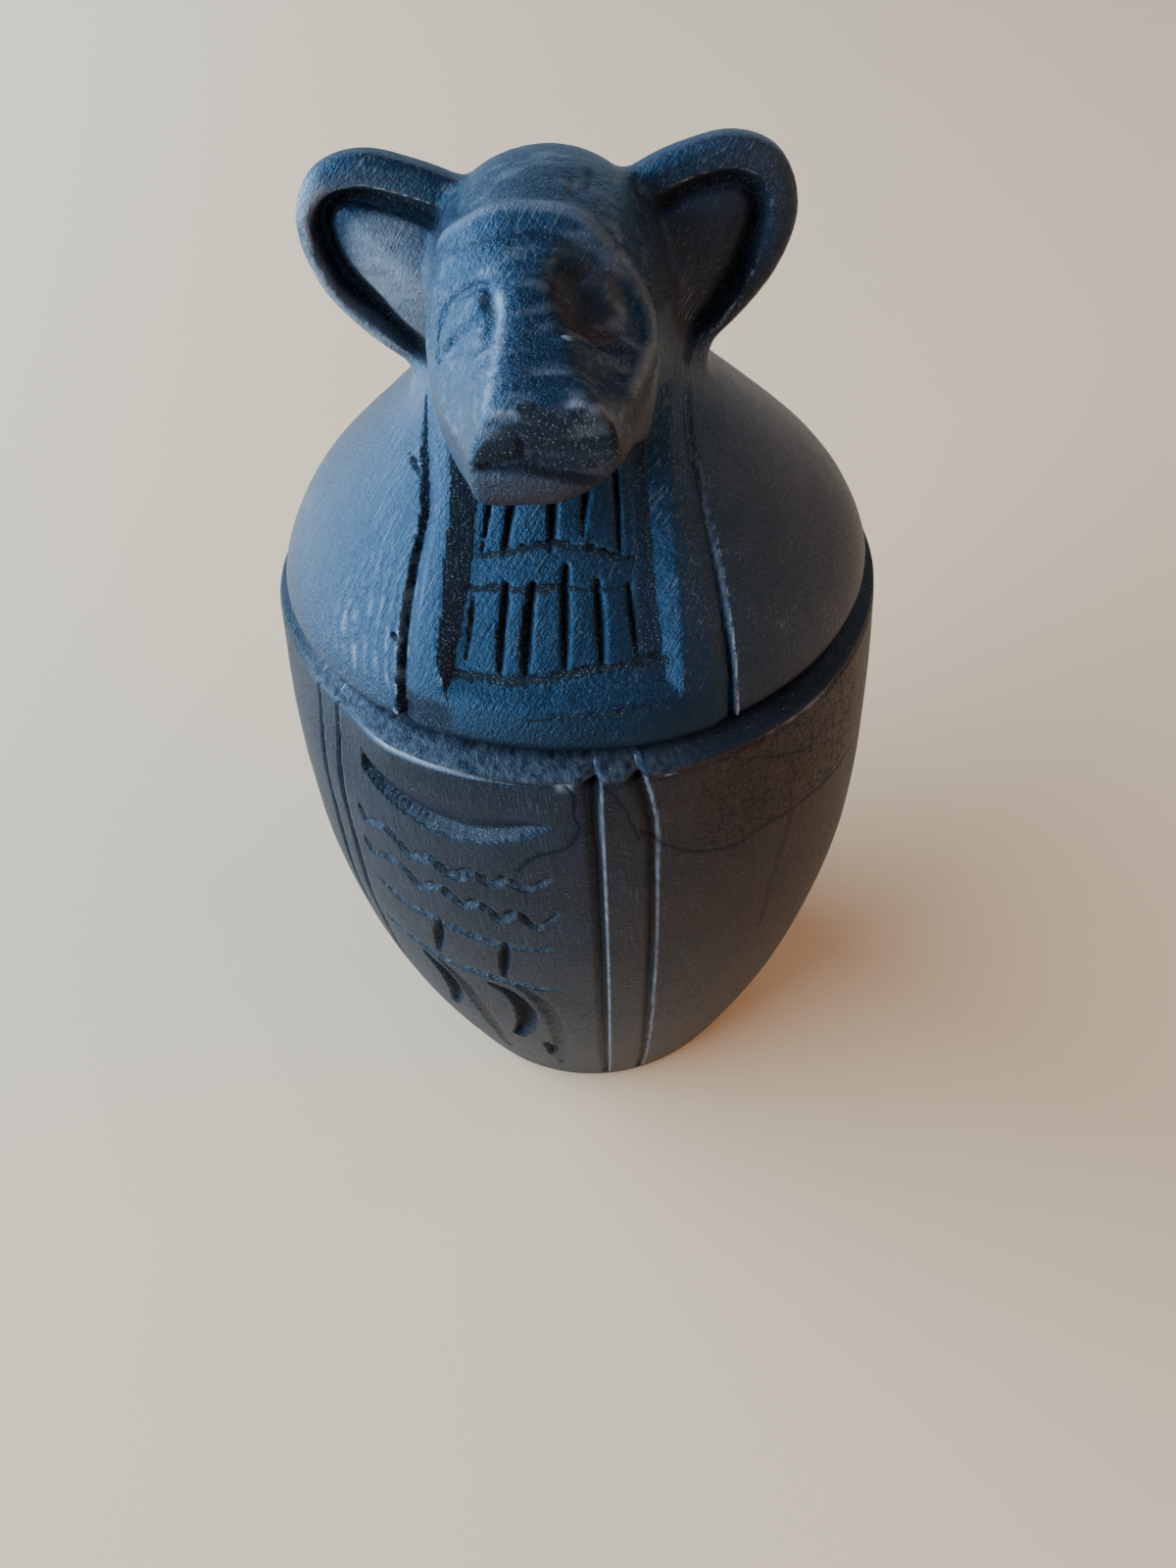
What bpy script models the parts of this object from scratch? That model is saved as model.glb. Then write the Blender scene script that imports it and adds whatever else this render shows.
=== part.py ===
"""Souvenir canopic jar of dark carved stone: a hollow ovoid jar and a loose lid with an animal's head.

Run with: blender --background --python part.py
Units are metres, +Z is up, and the origin is the centre of the jar's underside.
The head looks along -Y. An azimuth is counted in degrees from -Y towards +X.
"""

from math import asin, cos, degrees, pi, radians, sin

import bmesh
import bpy
from mathutils import Matrix, Vector

MM = 0.001

# The jar: an ovoid vessel with a thick wall, a flat foot and a bevelled rim.
JAR_HEIGHT = 67.0 * MM
BELLY_RADIUS = 28.5 * MM
BELLY_HEIGHT = 44.0 * MM
BELLY_CURVE = 1.75
FOOT_RADIUS = 19.0 * MM
FOOT_ROUND = 1.0 * MM
RIM_RADIUS = 27.0 * MM
RIM_BEVEL_WIDTH = 1.6 * MM
RIM_BEVEL_DROP = 0.8 * MM
WALL = 6.0 * MM
FLOOR = 7.0 * MM
MOUTH_RADIUS = 18.5 * MM
MOUTH_DEPTH = 7.0 * MM
MOUTH_EASE = 2.0 * MM

# The jar's carving: a panel of strokes between two bordered strips. The jar sits turned under its lid.
JAR_TURN = -20.6
STRIP_ANGLE = 30.3
STRIP_WIDTHS = {-1: 3.0 * MM, 1: 4.7 * MM}
STRIP_LOW = 2.0 * MM
STRIP_BELOW_RIM = 2.0 * MM
STRIP_GROOVE_WIDTH = 1.3 * MM
STRIP_GROOVE_DEPTH = 0.65 * MM
ROW_WIDTH = 19.2 * MM
STROKE_WIDTH = 1.3 * MM
STROKE_DEPTH = 0.65 * MM
CRESCENT_HEIGHT = 4.0 * MM
CRESCENT_DEPTH = 1.0 * MM
CRESCENT_SAG = 1.9 * MM
CRESCENT_TIP = 0.12
SCALLOPS = 5
SCALLOP_SAG = 0.9 * MM
HOOK_WIDTH = 2.0 * MM
HOOK_DEPTH = 1.0 * MM
HOOK_BEND = 0.25
HOOK_SWELL = (0.6, 0.9, 1.0, 1.0, 0.8)

# Levels in the panel, as shares of the jar's height. A level with a slope also falls across its row,
# and a place along a row runs from -1 to 1.
CRESCENT_LEVEL = (0.925, -0.012)
SCALLOP_LEVELS = ((0.822, -0.002), (0.752, -0.008))
BAR_LEVELS = (0.672, 0.567)
TICK_LEVELS = (0.655, 0.585)
TICK_PLACES = (-0.29, 0.40)
HOOKS = ((-0.70, 0.50, 0.36), (0.18, 0.51, 0.30), (0.56, 0.25, 0.13))

# The lid: a domed cloak with a plug under it that drops into the jar's mouth.
SEAT_GAP = 0.3 * MM
LID_SETBACK = 0.7 * MM
RIM_LEDGE = 1.7 * MM
LID_EDGE_RADIUS = RIM_RADIUS - RIM_LEDGE
LID_EDGE_RISE = 1.5 * MM
DOME_SWELL = 0.9 * MM
DOME_RADIUS = LID_EDGE_RADIUS + DOME_SWELL
DOME_HEIGHT = 26.5 * MM
DOME_TOP_RADIUS = 8.2 * MM
DOME_SHOULDER = 1.8
DOME_EASE = 2.5
DOME_SLOPE = 0.5
PLUG_CLEARANCE = 1.2 * MM
PLUG_LENGTH = 4.0 * MM
PLUG_ROUND = 0.8 * MM

# The lid's carving: two lappets of a headcloth with a sunk chest panel of strokes between them.
LAPPET_FOOT_ANGLE = 31.5
LAPPET_TOP_ANGLE = 70.0
LAPPET_FLARE = 3.0
LAPPET_RISE = 18.5 * MM
LAPPET_WIDTH = 1.3 * MM
LAPPET_DEPTH = 0.8 * MM
CHEST_FOOT = 8.7 * MM
CHEST_TOP = 7.4 * MM
CHEST_LOW = 4.2 * MM
CHEST_HIGH = 18.0 * MM
CHEST_SINK = 0.8 * MM
CHEST_STROKE_WIDTH = 1.1 * MM
CHEST_STROKE_DEPTH = 0.6 * MM
CHEST_FOOT_LINE = 5.9 * MM
CHEST_BAND_LOW = 10.2 * MM
CHEST_BAND_HIGH = 12.3 * MM
CHEST_LOW_STROKES = (-0.78, -0.47, -0.19, 0.13, 0.46, 0.80)
CHEST_HIGH_STROKES = (-0.72, -0.47, 0.0, 0.37, 0.74)

# The head. Every length of it is a share of its height, and it is sunk into the dome's top.
HEAD_HEIGHT = 17.5 * MM
HEAD_SINK = 9.0 * MM
HEAD_TURN = 4.0
HEAD_SHIFT = -0.8 * MM
FACE_SHIFT = -0.04
SKULL_CENTRE = (0.0, -0.03, 0.46)
SKULL_SIZE = (0.505, 0.55, 0.485)
NAPE_CENTRE = (0.0, -0.10, 0.02)
NAPE_SIZE = (0.62, 0.56, 0.42)

# Stations of the face and muzzle, back to front: how far ahead, the height of the top, the height of
# the underside, the half width, the squareness, and how much narrower the top is than the jaw.
FACE_STATIONS = (
    (0.05, 0.90, -0.05, 0.440, 2.2, 0.00),
    (0.32, 0.895, -0.05, 0.463, 2.3, 0.08),
    (0.50, 0.850, -0.04, 0.463, 2.5, 0.20),
    (0.62, 0.745, -0.02, 0.452, 2.6, 0.46),
    (0.76, 0.680, 0.02, 0.425, 2.8, 0.56),
    (0.92, 0.640, 0.06, 0.365, 3.0, 0.50),
    (1.10, 0.585, 0.10, 0.300, 3.4, 0.40),
    (1.15, 0.555, 0.13, 0.280, 3.4, 0.34),
    (1.215, 0.430, 0.20, 0.225, 3.0, 0.20),
)
FACE_SIDES = 20
BROW_STATION = (0.42, 0.875, -0.045, 0.463, 2.4, 0.14)
BROW_WIDTH = 0.08
BROW_DEPTH = 0.03
EYE_CENTRES = {-1: (-0.285, -0.73, 0.70), 1: (0.275, -0.68, 0.72)}
EYE_SIZE = (0.12, 0.16, 0.15)
EYE_TILT = 36.0
MOUTH_REACH = 1.225
MOUTH_HEIGHT = 0.34
MOUTH_HALF_WIDTH = 0.25
MOUTH_WRAP = 0.10
MOUTH_ARCH = 0.05
MOUTH_GAP = 0.065

# The ears: the right one's outline and the groove inside its rim, across and up, joined by smooth handles.
EAR_OUTLINE = (
    (0.30, 0.80),
    (0.53, 0.895),
    (0.78, 0.945),
    (0.985, 0.845),
    (1.06, 0.64),
    (0.955, 0.36),
    (0.70, 0.09),
    (0.46, 0.00),
    (0.30, 0.30),
)
EAR_GROOVE = (
    (0.58, 0.755),
    (0.78, 0.785),
    (0.90, 0.655),
    (0.83, 0.42),
    (0.68, 0.23),
    (0.52, 0.12),
)
EAR_THICKNESS = 0.17
EAR_ROUND = 0.38
EAR_LEAN = 7.0
EAR_BACK = 0.03
EAR_GROOVE_WIDTH = 0.125
EAR_GROOVE_DEPTH = 0.06
EAR_DISH_CENTRE = (0.60, 0.50)
EAR_DISH_SIZE = (0.20, 0.10, 0.33)
EAR_DISH_LIFT = 0.055
EAR_DISH_TILT = 28.0

TURN_STEPS = 56
OUTER_STEPS = 11
INNER_STEPS = 4
DOME_STEPS = 10
EAR_STEPS = 3
BALL_SIDES = 20
POINT_MERGE = 0.01 * MM
SHARP_ANGLE = 35.0


def stone(name, colour, roughness):
    """A Principled material of dyed stone."""
    material = bpy.data.materials.new(name)
    material.use_nodes = True
    shader = material.node_tree.nodes["Principled BSDF"]
    shader.inputs["Base Color"].default_value = (*colour, 1.0)
    shader.inputs["Roughness"].default_value = roughness
    shader.inputs["Metallic"].default_value = 0.0
    material.diffuse_color = (*colour, 1.0)
    return material


def hidden_collection(name):
    """A collection of shapes that only cut or join others, left out of the render."""
    collection = bpy.data.collections.new(name)
    collection.hide_render = True
    bpy.context.scene.collection.children.link(collection)
    return collection


def add_object(name, data, collection):
    """An object of this data, linked to a collection, and only an outline where that is hidden."""
    made = bpy.data.objects.new(name, data)
    collection.objects.link(made)
    if collection.hide_render:
        made.hide_render = True
        made.display_type = "WIRE"
    return made


def as_mesh(source):
    """The same shape as a plain mesh, with its modifiers or its curve worked out and its caps welded."""
    bpy.context.view_layer.update()
    graph = bpy.context.evaluated_depsgraph_get()
    mesh = bpy.data.meshes.new_from_object(source.evaluated_get(graph))
    if source.type == "CURVE":
        welded = bmesh.new()
        welded.from_mesh(mesh)
        bmesh.ops.remove_doubles(welded, verts=welded.verts, dist=POINT_MERGE)
        welded.to_mesh(mesh)
        welded.free()
    name = source.name
    place = source.matrix_world.copy()
    collection = source.users_collection[0]
    bpy.data.objects.remove(source)
    made = add_object(name, mesh, collection)
    made.matrix_world = place
    return made


def boolean(target, operation, others):
    """Joins a collection of shapes to the target, or cuts them out of it."""
    modifier = target.modifiers.new(f"{operation.lower()} {others.name}", "BOOLEAN")
    modifier.operation = operation
    modifier.solver = "EXACT"
    modifier.operand_type = "COLLECTION"
    modifier.collection = others


def turned(name, profile, collection):
    """A profile of (radius, height) pairs turned about Z, from the axis and back to it."""
    mesh = bpy.data.meshes.new(name)
    points = [(radius, 0.0, height) for radius, height in profile]
    mesh.from_pydata(points, [(i, i + 1) for i in range(len(points) - 1)], [])
    made = add_object(name, mesh, collection)
    screw = made.modifiers.new("turn", "SCREW")
    screw.steps = screw.render_steps = TURN_STEPS
    screw.use_merge_vertices = True
    screw.merge_threshold = POINT_MERGE
    return made


def spread(first, last, count):
    """count values from first to last, both included."""
    return [first + (last - first) * i / (count - 1) for i in range(count)]


def jar_radius(height):
    """The outside radius of the jar at a height: a power curve below the belly, a parabola above it."""
    if height < BELLY_HEIGHT:
        share = (BELLY_HEIGHT - height) / BELLY_HEIGHT
        return BELLY_RADIUS - (BELLY_RADIUS - FOOT_RADIUS) * share**BELLY_CURVE
    share = (height - BELLY_HEIGHT) / (JAR_HEIGHT - BELLY_HEIGHT)
    return BELLY_RADIUS - (BELLY_RADIUS - RIM_RADIUS) * share**2


def jar_profile():
    """The section of the hollow jar: up the inside from the floor, over the rim and down the outside."""
    mouth_foot = JAR_HEIGHT - MOUTH_DEPTH
    inside = [(jar_radius(height) - WALL, height) for height in spread(FLOOR, mouth_foot, INNER_STEPS + 1)]
    shoulder = JAR_HEIGHT - RIM_BEVEL_DROP
    outside = [(jar_radius(height), height) for height in spread(shoulder, FOOT_ROUND, OUTER_STEPS + 1)]
    return [
        (0.0, FLOOR),
        *inside,
        (MOUTH_RADIUS, mouth_foot + MOUTH_EASE),
        (MOUTH_RADIUS, JAR_HEIGHT),
        (jar_radius(shoulder) - RIM_BEVEL_WIDTH, JAR_HEIGHT),
        *outside,
        (FOOT_RADIUS - FOOT_ROUND, 0.0),
        (0.0, 0.0),
    ]


def dome_radius(rise):
    """The dome's radius at a rise above its seat: a full shoulder that eases into the neck."""
    share = min(rise / DOME_HEIGHT, 1.0)
    full = DOME_TOP_RADIUS + (DOME_RADIUS - DOME_TOP_RADIUS) * (1 - share**DOME_SHOULDER) ** DOME_EASE
    if rise < LID_EDGE_RISE:
        tuck = (1 - rise / LID_EDGE_RISE) ** 2
        return full + (LID_EDGE_RADIUS - DOME_RADIUS) * tuck
    return full


def lid_profile():
    """The section of the dome: down its outside from the top, along the seat and down the plug."""
    plug_radius = MOUTH_RADIUS - PLUG_CLEARANCE
    rises = [*spread(DOME_HEIGHT, LID_EDGE_RISE, DOME_STEPS + 1), LID_EDGE_RISE / 3, 0.0]
    return [
        (0.0, DOME_HEIGHT),
        *[(dome_radius(rise), rise) for rise in rises],
        (plug_radius, 0.0),
        (plug_radius, PLUG_ROUND - PLUG_LENGTH),
        (plug_radius - PLUG_ROUND, -PLUG_LENGTH),
        (0.0, -PLUG_LENGTH),
    ]


def jar_spot(azimuth, height):
    """A point on the jar's skin, in degrees round from the front, and the way out of the stone there."""
    outward = Vector((sin(radians(azimuth)), -cos(radians(azimuth)), 0.0))
    return outward * jar_radius(height) + Vector((0.0, 0.0, height)), outward


def panel_spot(share, height):
    """A point of the jar's panel. share runs from -1 to 1 across a row of strokes."""
    half_angle = degrees(ROW_WIDTH / 2 / BELLY_RADIUS)
    return jar_spot(JAR_TURN + share * half_angle, height)


def dome_spot(angle, rise, sink=0.0):
    """A point this many radians round the dome, on its skin or sunk under it, and the way out there."""
    radius = dome_radius(rise) - sink
    place = Vector((radius * sin(angle), -radius * cos(angle), rise))
    return place, Vector((sin(angle), -cos(angle), DOME_SLOPE)).normalized()


def chest_spot(across, rise):
    """A point this far across the sunk chest panel, on its bed, and the way out there."""
    return dome_spot(asin(across / (dome_radius(rise) - CHEST_SINK)), rise, CHEST_SINK)


def gouge(name, spots, width, depth, collection, swell=None):
    """A cutter that leaves a round-bottomed groove of this width and depth through the spots.

    swell gives the share of the full section at each spot, for a cut with pointed ends.
    """
    shares = swell or [1.0] * len(spots)
    curve = bpy.data.curves.new(name, "CURVE")
    curve.dimensions = "3D"
    curve.bevel_depth = MM
    curve.bevel_resolution = 1
    curve.use_fill_caps = True
    spline = curve.splines.new("POLY")
    spline.points.add(len(spots) - 1)
    for point, (place, outward), share in zip(spline.points, spots, shares):
        half, deep = width / 2 * share, depth * share
        radius = (half**2 + deep**2) / (2 * deep)
        point.co = (*(place + outward * (radius - deep)), 1.0)
        point.radius = radius / MM
    as_mesh(add_object(name, curve, collection))


def strip_grooves(cutters):
    """The two upright grooves on either side of the jar's panel, with a plain strip between them."""
    heights = spread(STRIP_LOW, JAR_HEIGHT - STRIP_BELOW_RIM, 8)
    for side, width in STRIP_WIDTHS.items():
        for edge in (-1, 1):
            spots = []
            for height in heights:
                half_angle = degrees(width / 2 / jar_radius(height))
                spots.append(jar_spot(JAR_TURN + side * STRIP_ANGLE + edge * half_angle, height))
            gouge(f"strip groove {side} {edge}", spots, STRIP_GROOVE_WIDTH, STRIP_GROOVE_DEPTH, cutters)


def crescent(cutters):
    """The long cut at the panel's top: straight above, sagging below, with pointed ends."""
    level, slope = CRESCENT_LEVEL
    spots, swell = [], []
    for share in spread(-1.0, 1.0, 9):
        full = 1 - share**2
        height = (level + slope * share) * JAR_HEIGHT - CRESCENT_SAG * full
        spots.append(panel_spot(share, height))
        swell.append(CRESCENT_TIP + (1 - CRESCENT_TIP) * full)
    gouge("crescent", spots, CRESCENT_HEIGHT, CRESCENT_DEPTH, cutters, swell)


def scallops(cutters):
    """Two rows of small hanging arcs under the crescent."""
    steps = 2 * SCALLOPS
    for row, (level, slope) in enumerate(SCALLOP_LEVELS):
        spots = []
        for i in range(steps + 1):
            share = -1.0 + 2.0 * i / steps
            sag = SCALLOP_SAG * abs(sin(pi * SCALLOPS * i / steps))
            spots.append(panel_spot(share, (level + slope * share) * JAR_HEIGHT - sag))
        gouge(f"scallops {row}", spots, STROKE_WIDTH, STROKE_DEPTH, cutters)


def bars_and_ticks(cutters):
    """Two level bars with two short uprights between them."""
    for row, level in enumerate(BAR_LEVELS):
        spots = [panel_spot(share, level * JAR_HEIGHT) for share in spread(-1.0, 1.0, 6)]
        gouge(f"bar {row}", spots, STROKE_WIDTH, STROKE_DEPTH, cutters)
    for row, share in enumerate(TICK_PLACES):
        spots = [panel_spot(share, level * JAR_HEIGHT) for level in spread(*TICK_LEVELS, 3)]
        gouge(f"tick {row}", spots, STROKE_WIDTH, STROKE_DEPTH, cutters)


def hooks(cutters):
    """The bent gouges in the panel's lower part, each from a first place down between two levels."""
    for row, (first, high, low) in enumerate(HOOKS):
        spots = []
        for step in spread(0.0, 1.0, len(HOOK_SWELL)):
            bend = HOOK_BEND * sin(pi * 0.75 * step)
            spots.append(panel_spot(first + bend, (high + (low - high) * step) * JAR_HEIGHT))
        gouge(f"hook {row}", spots, HOOK_WIDTH, HOOK_DEPTH, cutters, HOOK_SWELL)


def lappet_grooves(cutters):
    """The groove down the outside of each lappet, which runs out over the lid's edge."""
    for side in (-1, 1):
        spots = []
        for share in spread(0.0, 1.0, 7):
            angle = LAPPET_FOOT_ANGLE + (LAPPET_TOP_ANGLE - LAPPET_FOOT_ANGLE) * share**LAPPET_FLARE
            spots.append(dome_spot(radians(side * angle), LAPPET_RISE * share))
        foot, outward = spots[0]
        spots.insert(0, (foot - Vector((0.0, 0.0, LAPPET_WIDTH)), outward))
        gouge(f"lappet groove {side}", spots, LAPPET_WIDTH, LAPPET_DEPTH, cutters)


def chest_edge(rise):
    """Half the width of the sunk chest panel at a rise."""
    share = (rise - CHEST_LOW) / (CHEST_HIGH - CHEST_LOW)
    return CHEST_FOOT + (CHEST_TOP - CHEST_FOOT) * share


def chest_sink(cutters):
    """The cutter that sinks the chest panel: a patch of the dome, thickened outwards."""
    columns, rows = 9, 8
    mesh = bpy.data.meshes.new("chest sink")
    grid = bmesh.new()
    bmesh.ops.create_grid(grid, x_segments=columns - 1, y_segments=rows - 1, size=1.0)
    for point in grid.verts:
        rise = CHEST_LOW + (CHEST_HIGH - CHEST_LOW) * (point.co.y + 1) / 2
        point.co = chest_spot(point.co.x * chest_edge(rise), rise)[0]
    grid.to_mesh(mesh)
    grid.free()
    made = add_object("chest sink", mesh, cutters)
    solid = made.modifiers.new("thicken", "SOLIDIFY")
    solid.thickness = 4 * CHEST_SINK
    solid.offset = 1.0
    as_mesh(made)


def chest_strokes(cutters):
    """The chest panel's strokes, none of which is a letter: two rows of uprights and three lines."""
    def upright(name, across, low, high):
        spots = [chest_spot(across, rise) for rise in spread(low, high, 3)]
        gouge(name, spots, CHEST_STROKE_WIDTH, CHEST_STROKE_DEPTH, cutters)

    for i, share in enumerate(CHEST_LOW_STROKES):
        across = share * chest_edge(CHEST_BAND_LOW)
        upright(f"low stroke {i}", across, CHEST_FOOT_LINE, CHEST_BAND_LOW)
    for i, share in enumerate(CHEST_HIGH_STROKES):
        across = share * chest_edge(CHEST_BAND_HIGH)
        upright(f"high stroke {i}", across, CHEST_BAND_HIGH, CHEST_HIGH - CHEST_STROKE_WIDTH)
    for i, rise in enumerate((CHEST_FOOT_LINE, CHEST_BAND_LOW, CHEST_BAND_HIGH)):
        edge = 0.9 * chest_edge(rise)
        spots = [chest_spot(across, rise) for across in spread(-edge, edge, 7)]
        gouge(f"level line {i}", spots, CHEST_STROKE_WIDTH, CHEST_STROKE_DEPTH, cutters)


def ball(name, centre, size, collection, turn=Matrix()):
    """An ellipsoid of these half sizes, turned by a matrix and moved to its centre."""
    mesh = bpy.data.meshes.new(name)
    sphere = bmesh.new()
    bmesh.ops.create_uvsphere(sphere, u_segments=BALL_SIDES, v_segments=BALL_SIDES // 2, radius=1.0)
    sphere.transform(Matrix.Translation(centre) @ turn @ Matrix.Diagonal((*size, 1.0)))
    sphere.to_mesh(mesh)
    sphere.free()
    return add_object(name, mesh, collection)


def face_ring(station):
    """The points of one station of the face: a rounded section that narrows towards its top."""
    ahead, top, low, half, square, pinch = station
    middle, reach = (top + low) / 2, (top - low) / 2
    ring = []
    for i in range(FACE_SIDES):
        c = cos(2 * pi * i / FACE_SIDES)
        s = sin(2 * pi * i / FACE_SIDES)
        size = (abs(c) ** square + abs(s) ** square) ** (-1 / square)
        narrow = 1 - pinch * max(s * size, 0.0)
        ring.append((FACE_SHIFT + half * size * c * narrow, -ahead, middle + reach * size * s))
    return ring


def face_loft(collection):
    """The face and muzzle, in shares of the head's height: the stations' rings, closed at both ends."""
    mesh = bpy.data.meshes.new("face")
    loft = bmesh.new()
    rings = [[loft.verts.new(point) for point in face_ring(station)] for station in FACE_STATIONS]
    for near, far in zip(rings, rings[1:]):
        for i in range(FACE_SIDES):
            j = (i + 1) % FACE_SIDES
            loft.faces.new((near[i], near[j], far[j], far[i]))
    loft.faces.new(list(reversed(rings[0])))
    loft.faces.new(rings[-1])
    loft.to_mesh(mesh)
    loft.free()
    add_object("face", mesh, collection)


def ear_curve(name, points, side):
    """A curve through the points of an ear, across and up, with smooth handles."""
    curve = bpy.data.curves.new(name, "CURVE")
    curve.resolution_u = EAR_STEPS
    spline = curve.splines.new("BEZIER")
    spline.bezier_points.add(len(points) - 1)
    for point, (across, up) in zip(spline.bezier_points, points):
        point.co = (side * across, up, 0.0)
        point.handle_left_type = "AUTO"
        point.handle_right_type = "AUTO"
    return curve


def ear(side, solids, cutters):
    """One ear, in shares of the head's height: a thin plate with a rounded rim, a groove and a dish."""
    lean = Matrix.Translation((0.0, EAR_BACK, 0.0)) @ Matrix.Rotation(radians(-EAR_LEAN), 4, "X")
    stand = lean @ Matrix.Rotation(pi / 2, 4, "X")

    plate = ear_curve(f"ear {side}", EAR_OUTLINE, side)
    plate.dimensions = "2D"
    plate.fill_mode = "BOTH"
    plate.splines[0].use_cyclic_u = True
    plate.bevel_depth = EAR_THICKNESS * EAR_ROUND
    plate.bevel_resolution = 1
    plate.extrude = EAR_THICKNESS / 2 - plate.bevel_depth
    plate.offset = -plate.bevel_depth
    made = as_mesh(add_object(plate.name, plate, solids))
    made.matrix_world = stand

    rod = ear_curve(f"ear groove {side}", EAR_GROOVE, side)
    rod.dimensions = "3D"
    rod.bevel_depth = EAR_GROOVE_WIDTH / 2
    rod.bevel_resolution = 1
    rod.use_fill_caps = True
    made = as_mesh(add_object(rod.name, rod, cutters))
    front = EAR_THICKNESS / 2
    made.matrix_world = stand @ Matrix.Translation((0.0, 0.0, front + rod.bevel_depth - EAR_GROOVE_DEPTH))

    across, up = EAR_DISH_CENTRE
    centre = lean @ Vector((side * across, -front - EAR_DISH_LIFT, up))
    tilt = Matrix.Rotation(radians(-EAR_LEAN), 4, "X") @ Matrix.Rotation(radians(side * EAR_DISH_TILT), 4, "Y")
    ball(f"ear dish {side}", centre, EAR_DISH_SIZE, cutters, tilt)


def face_cuts(cutters):
    """The line of the brow, the hollows of the eyes and the slit of the mouth, as shares of the head."""
    brow = [Vector(point) for point in face_ring(BROW_STATION)[: FACE_SIDES // 2 + 1]]
    middle = Vector((FACE_SHIFT, brow[0].y, SKULL_CENTRE[2]))
    spots = [(point, (point - middle).normalized()) for point in brow]
    gouge("brow", spots, BROW_WIDTH, BROW_DEPTH, cutters)
    for side, (across, ahead, up) in EYE_CENTRES.items():
        tilt = Matrix.Rotation(radians(side * EYE_TILT), 4, "Y")
        ball(f"eye {side}", (across + FACE_SHIFT, ahead, up), EYE_SIZE, cutters, tilt)
    spots = []
    for share in spread(-1.0, 1.0, 7):
        place = Vector((
            MOUTH_HALF_WIDTH * share + FACE_SHIFT,
            MOUTH_WRAP * share**2 - MOUTH_REACH,
            MOUTH_HEIGHT - MOUTH_ARCH * share**2,
        ))
        spots.append((place, Vector((0.0, -1.0, 0.0))))
    gouge("mouth", spots, MOUTH_GAP, MOUTH_GAP / 2, cutters)


def make_jar(material, parts):
    """The jar with its carving."""
    jar = turned("jar", jar_profile(), parts)
    cutters = hidden_collection("jar cutters")
    strip_grooves(cutters)
    crescent(cutters)
    scallops(cutters)
    bars_and_ticks(cutters)
    hooks(cutters)
    boolean(jar, "DIFFERENCE", cutters)
    finish(jar, material)


def make_lid(material, parts):
    """The lid: the carved dome with the head on it, set back a little on the jar's rim."""
    lid = turned("lid", lid_profile(), parts)
    dome_cutters = hidden_collection("dome cutters")
    lappet_grooves(dome_cutters)
    chest_sink(dome_cutters)
    chest_strokes(dome_cutters)

    head = hidden_collection("head")
    head_cutters = hidden_collection("head cutters")
    ball("skull", SKULL_CENTRE, SKULL_SIZE, head)
    ball("nape", NAPE_CENTRE, NAPE_SIZE, head)
    face_loft(head)
    for side in (-1, 1):
        ear(side, head, head_cutters)
    face_cuts(head_cutters)

    seat = Matrix.Translation((0.0, LID_SETBACK, JAR_HEIGHT + SEAT_GAP))
    neck = Matrix.Translation((HEAD_SHIFT, 0.0, DOME_HEIGHT - HEAD_SINK))
    grow = neck @ Matrix.Rotation(radians(HEAD_TURN), 4, "Z") @ Matrix.Scale(HEAD_HEIGHT, 4)
    bpy.context.view_layer.update()
    for piece in (*head.objects, *head_cutters.objects):
        piece.matrix_world = seat @ grow @ piece.matrix_world
    for piece in dome_cutters.objects:
        piece.matrix_world = seat
    lid.matrix_world = seat
    boolean(lid, "DIFFERENCE", dome_cutters)
    boolean(lid, "UNION", head)
    boolean(lid, "DIFFERENCE", head_cutters)
    finish(lid, material)


def finish(made, material):
    """The piece's own mesh with the stone on it, smooth except at its carved edges."""
    solid = as_mesh(made)
    solid.data.materials.clear()
    solid.data.materials.append(material)
    solid.data.shade_smooth()
    solid.data.set_sharp_from_angle(angle=radians(SHARP_ANGLE))


def main():
    """Clears the scene and models the two pieces."""
    for old in list(bpy.data.objects):
        bpy.data.objects.remove(old)
    parts = bpy.data.collections.new("canopic jar")
    bpy.context.scene.collection.children.link(parts)
    make_jar(stone("jar stone", (0.030, 0.030, 0.034), 0.42), parts)
    make_lid(stone("lid stone", (0.026, 0.030, 0.038), 0.38), parts)


main()
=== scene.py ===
"""The looks of a souvenir canopic jar: dark stained stone, carved by hand, satin where hands rub it.

Shapes are worked out in millimetres and become metres when a mesh is made. +Z is up and the head
looks along -Y. An azimuth is counted in degrees from -Y towards +X.
"""

from __future__ import annotations

import logging
from abc import ABC, abstractmethod
from collections.abc import Callable, Sequence
from dataclasses import dataclass, field
from enum import Enum
from functools import partial

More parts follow.
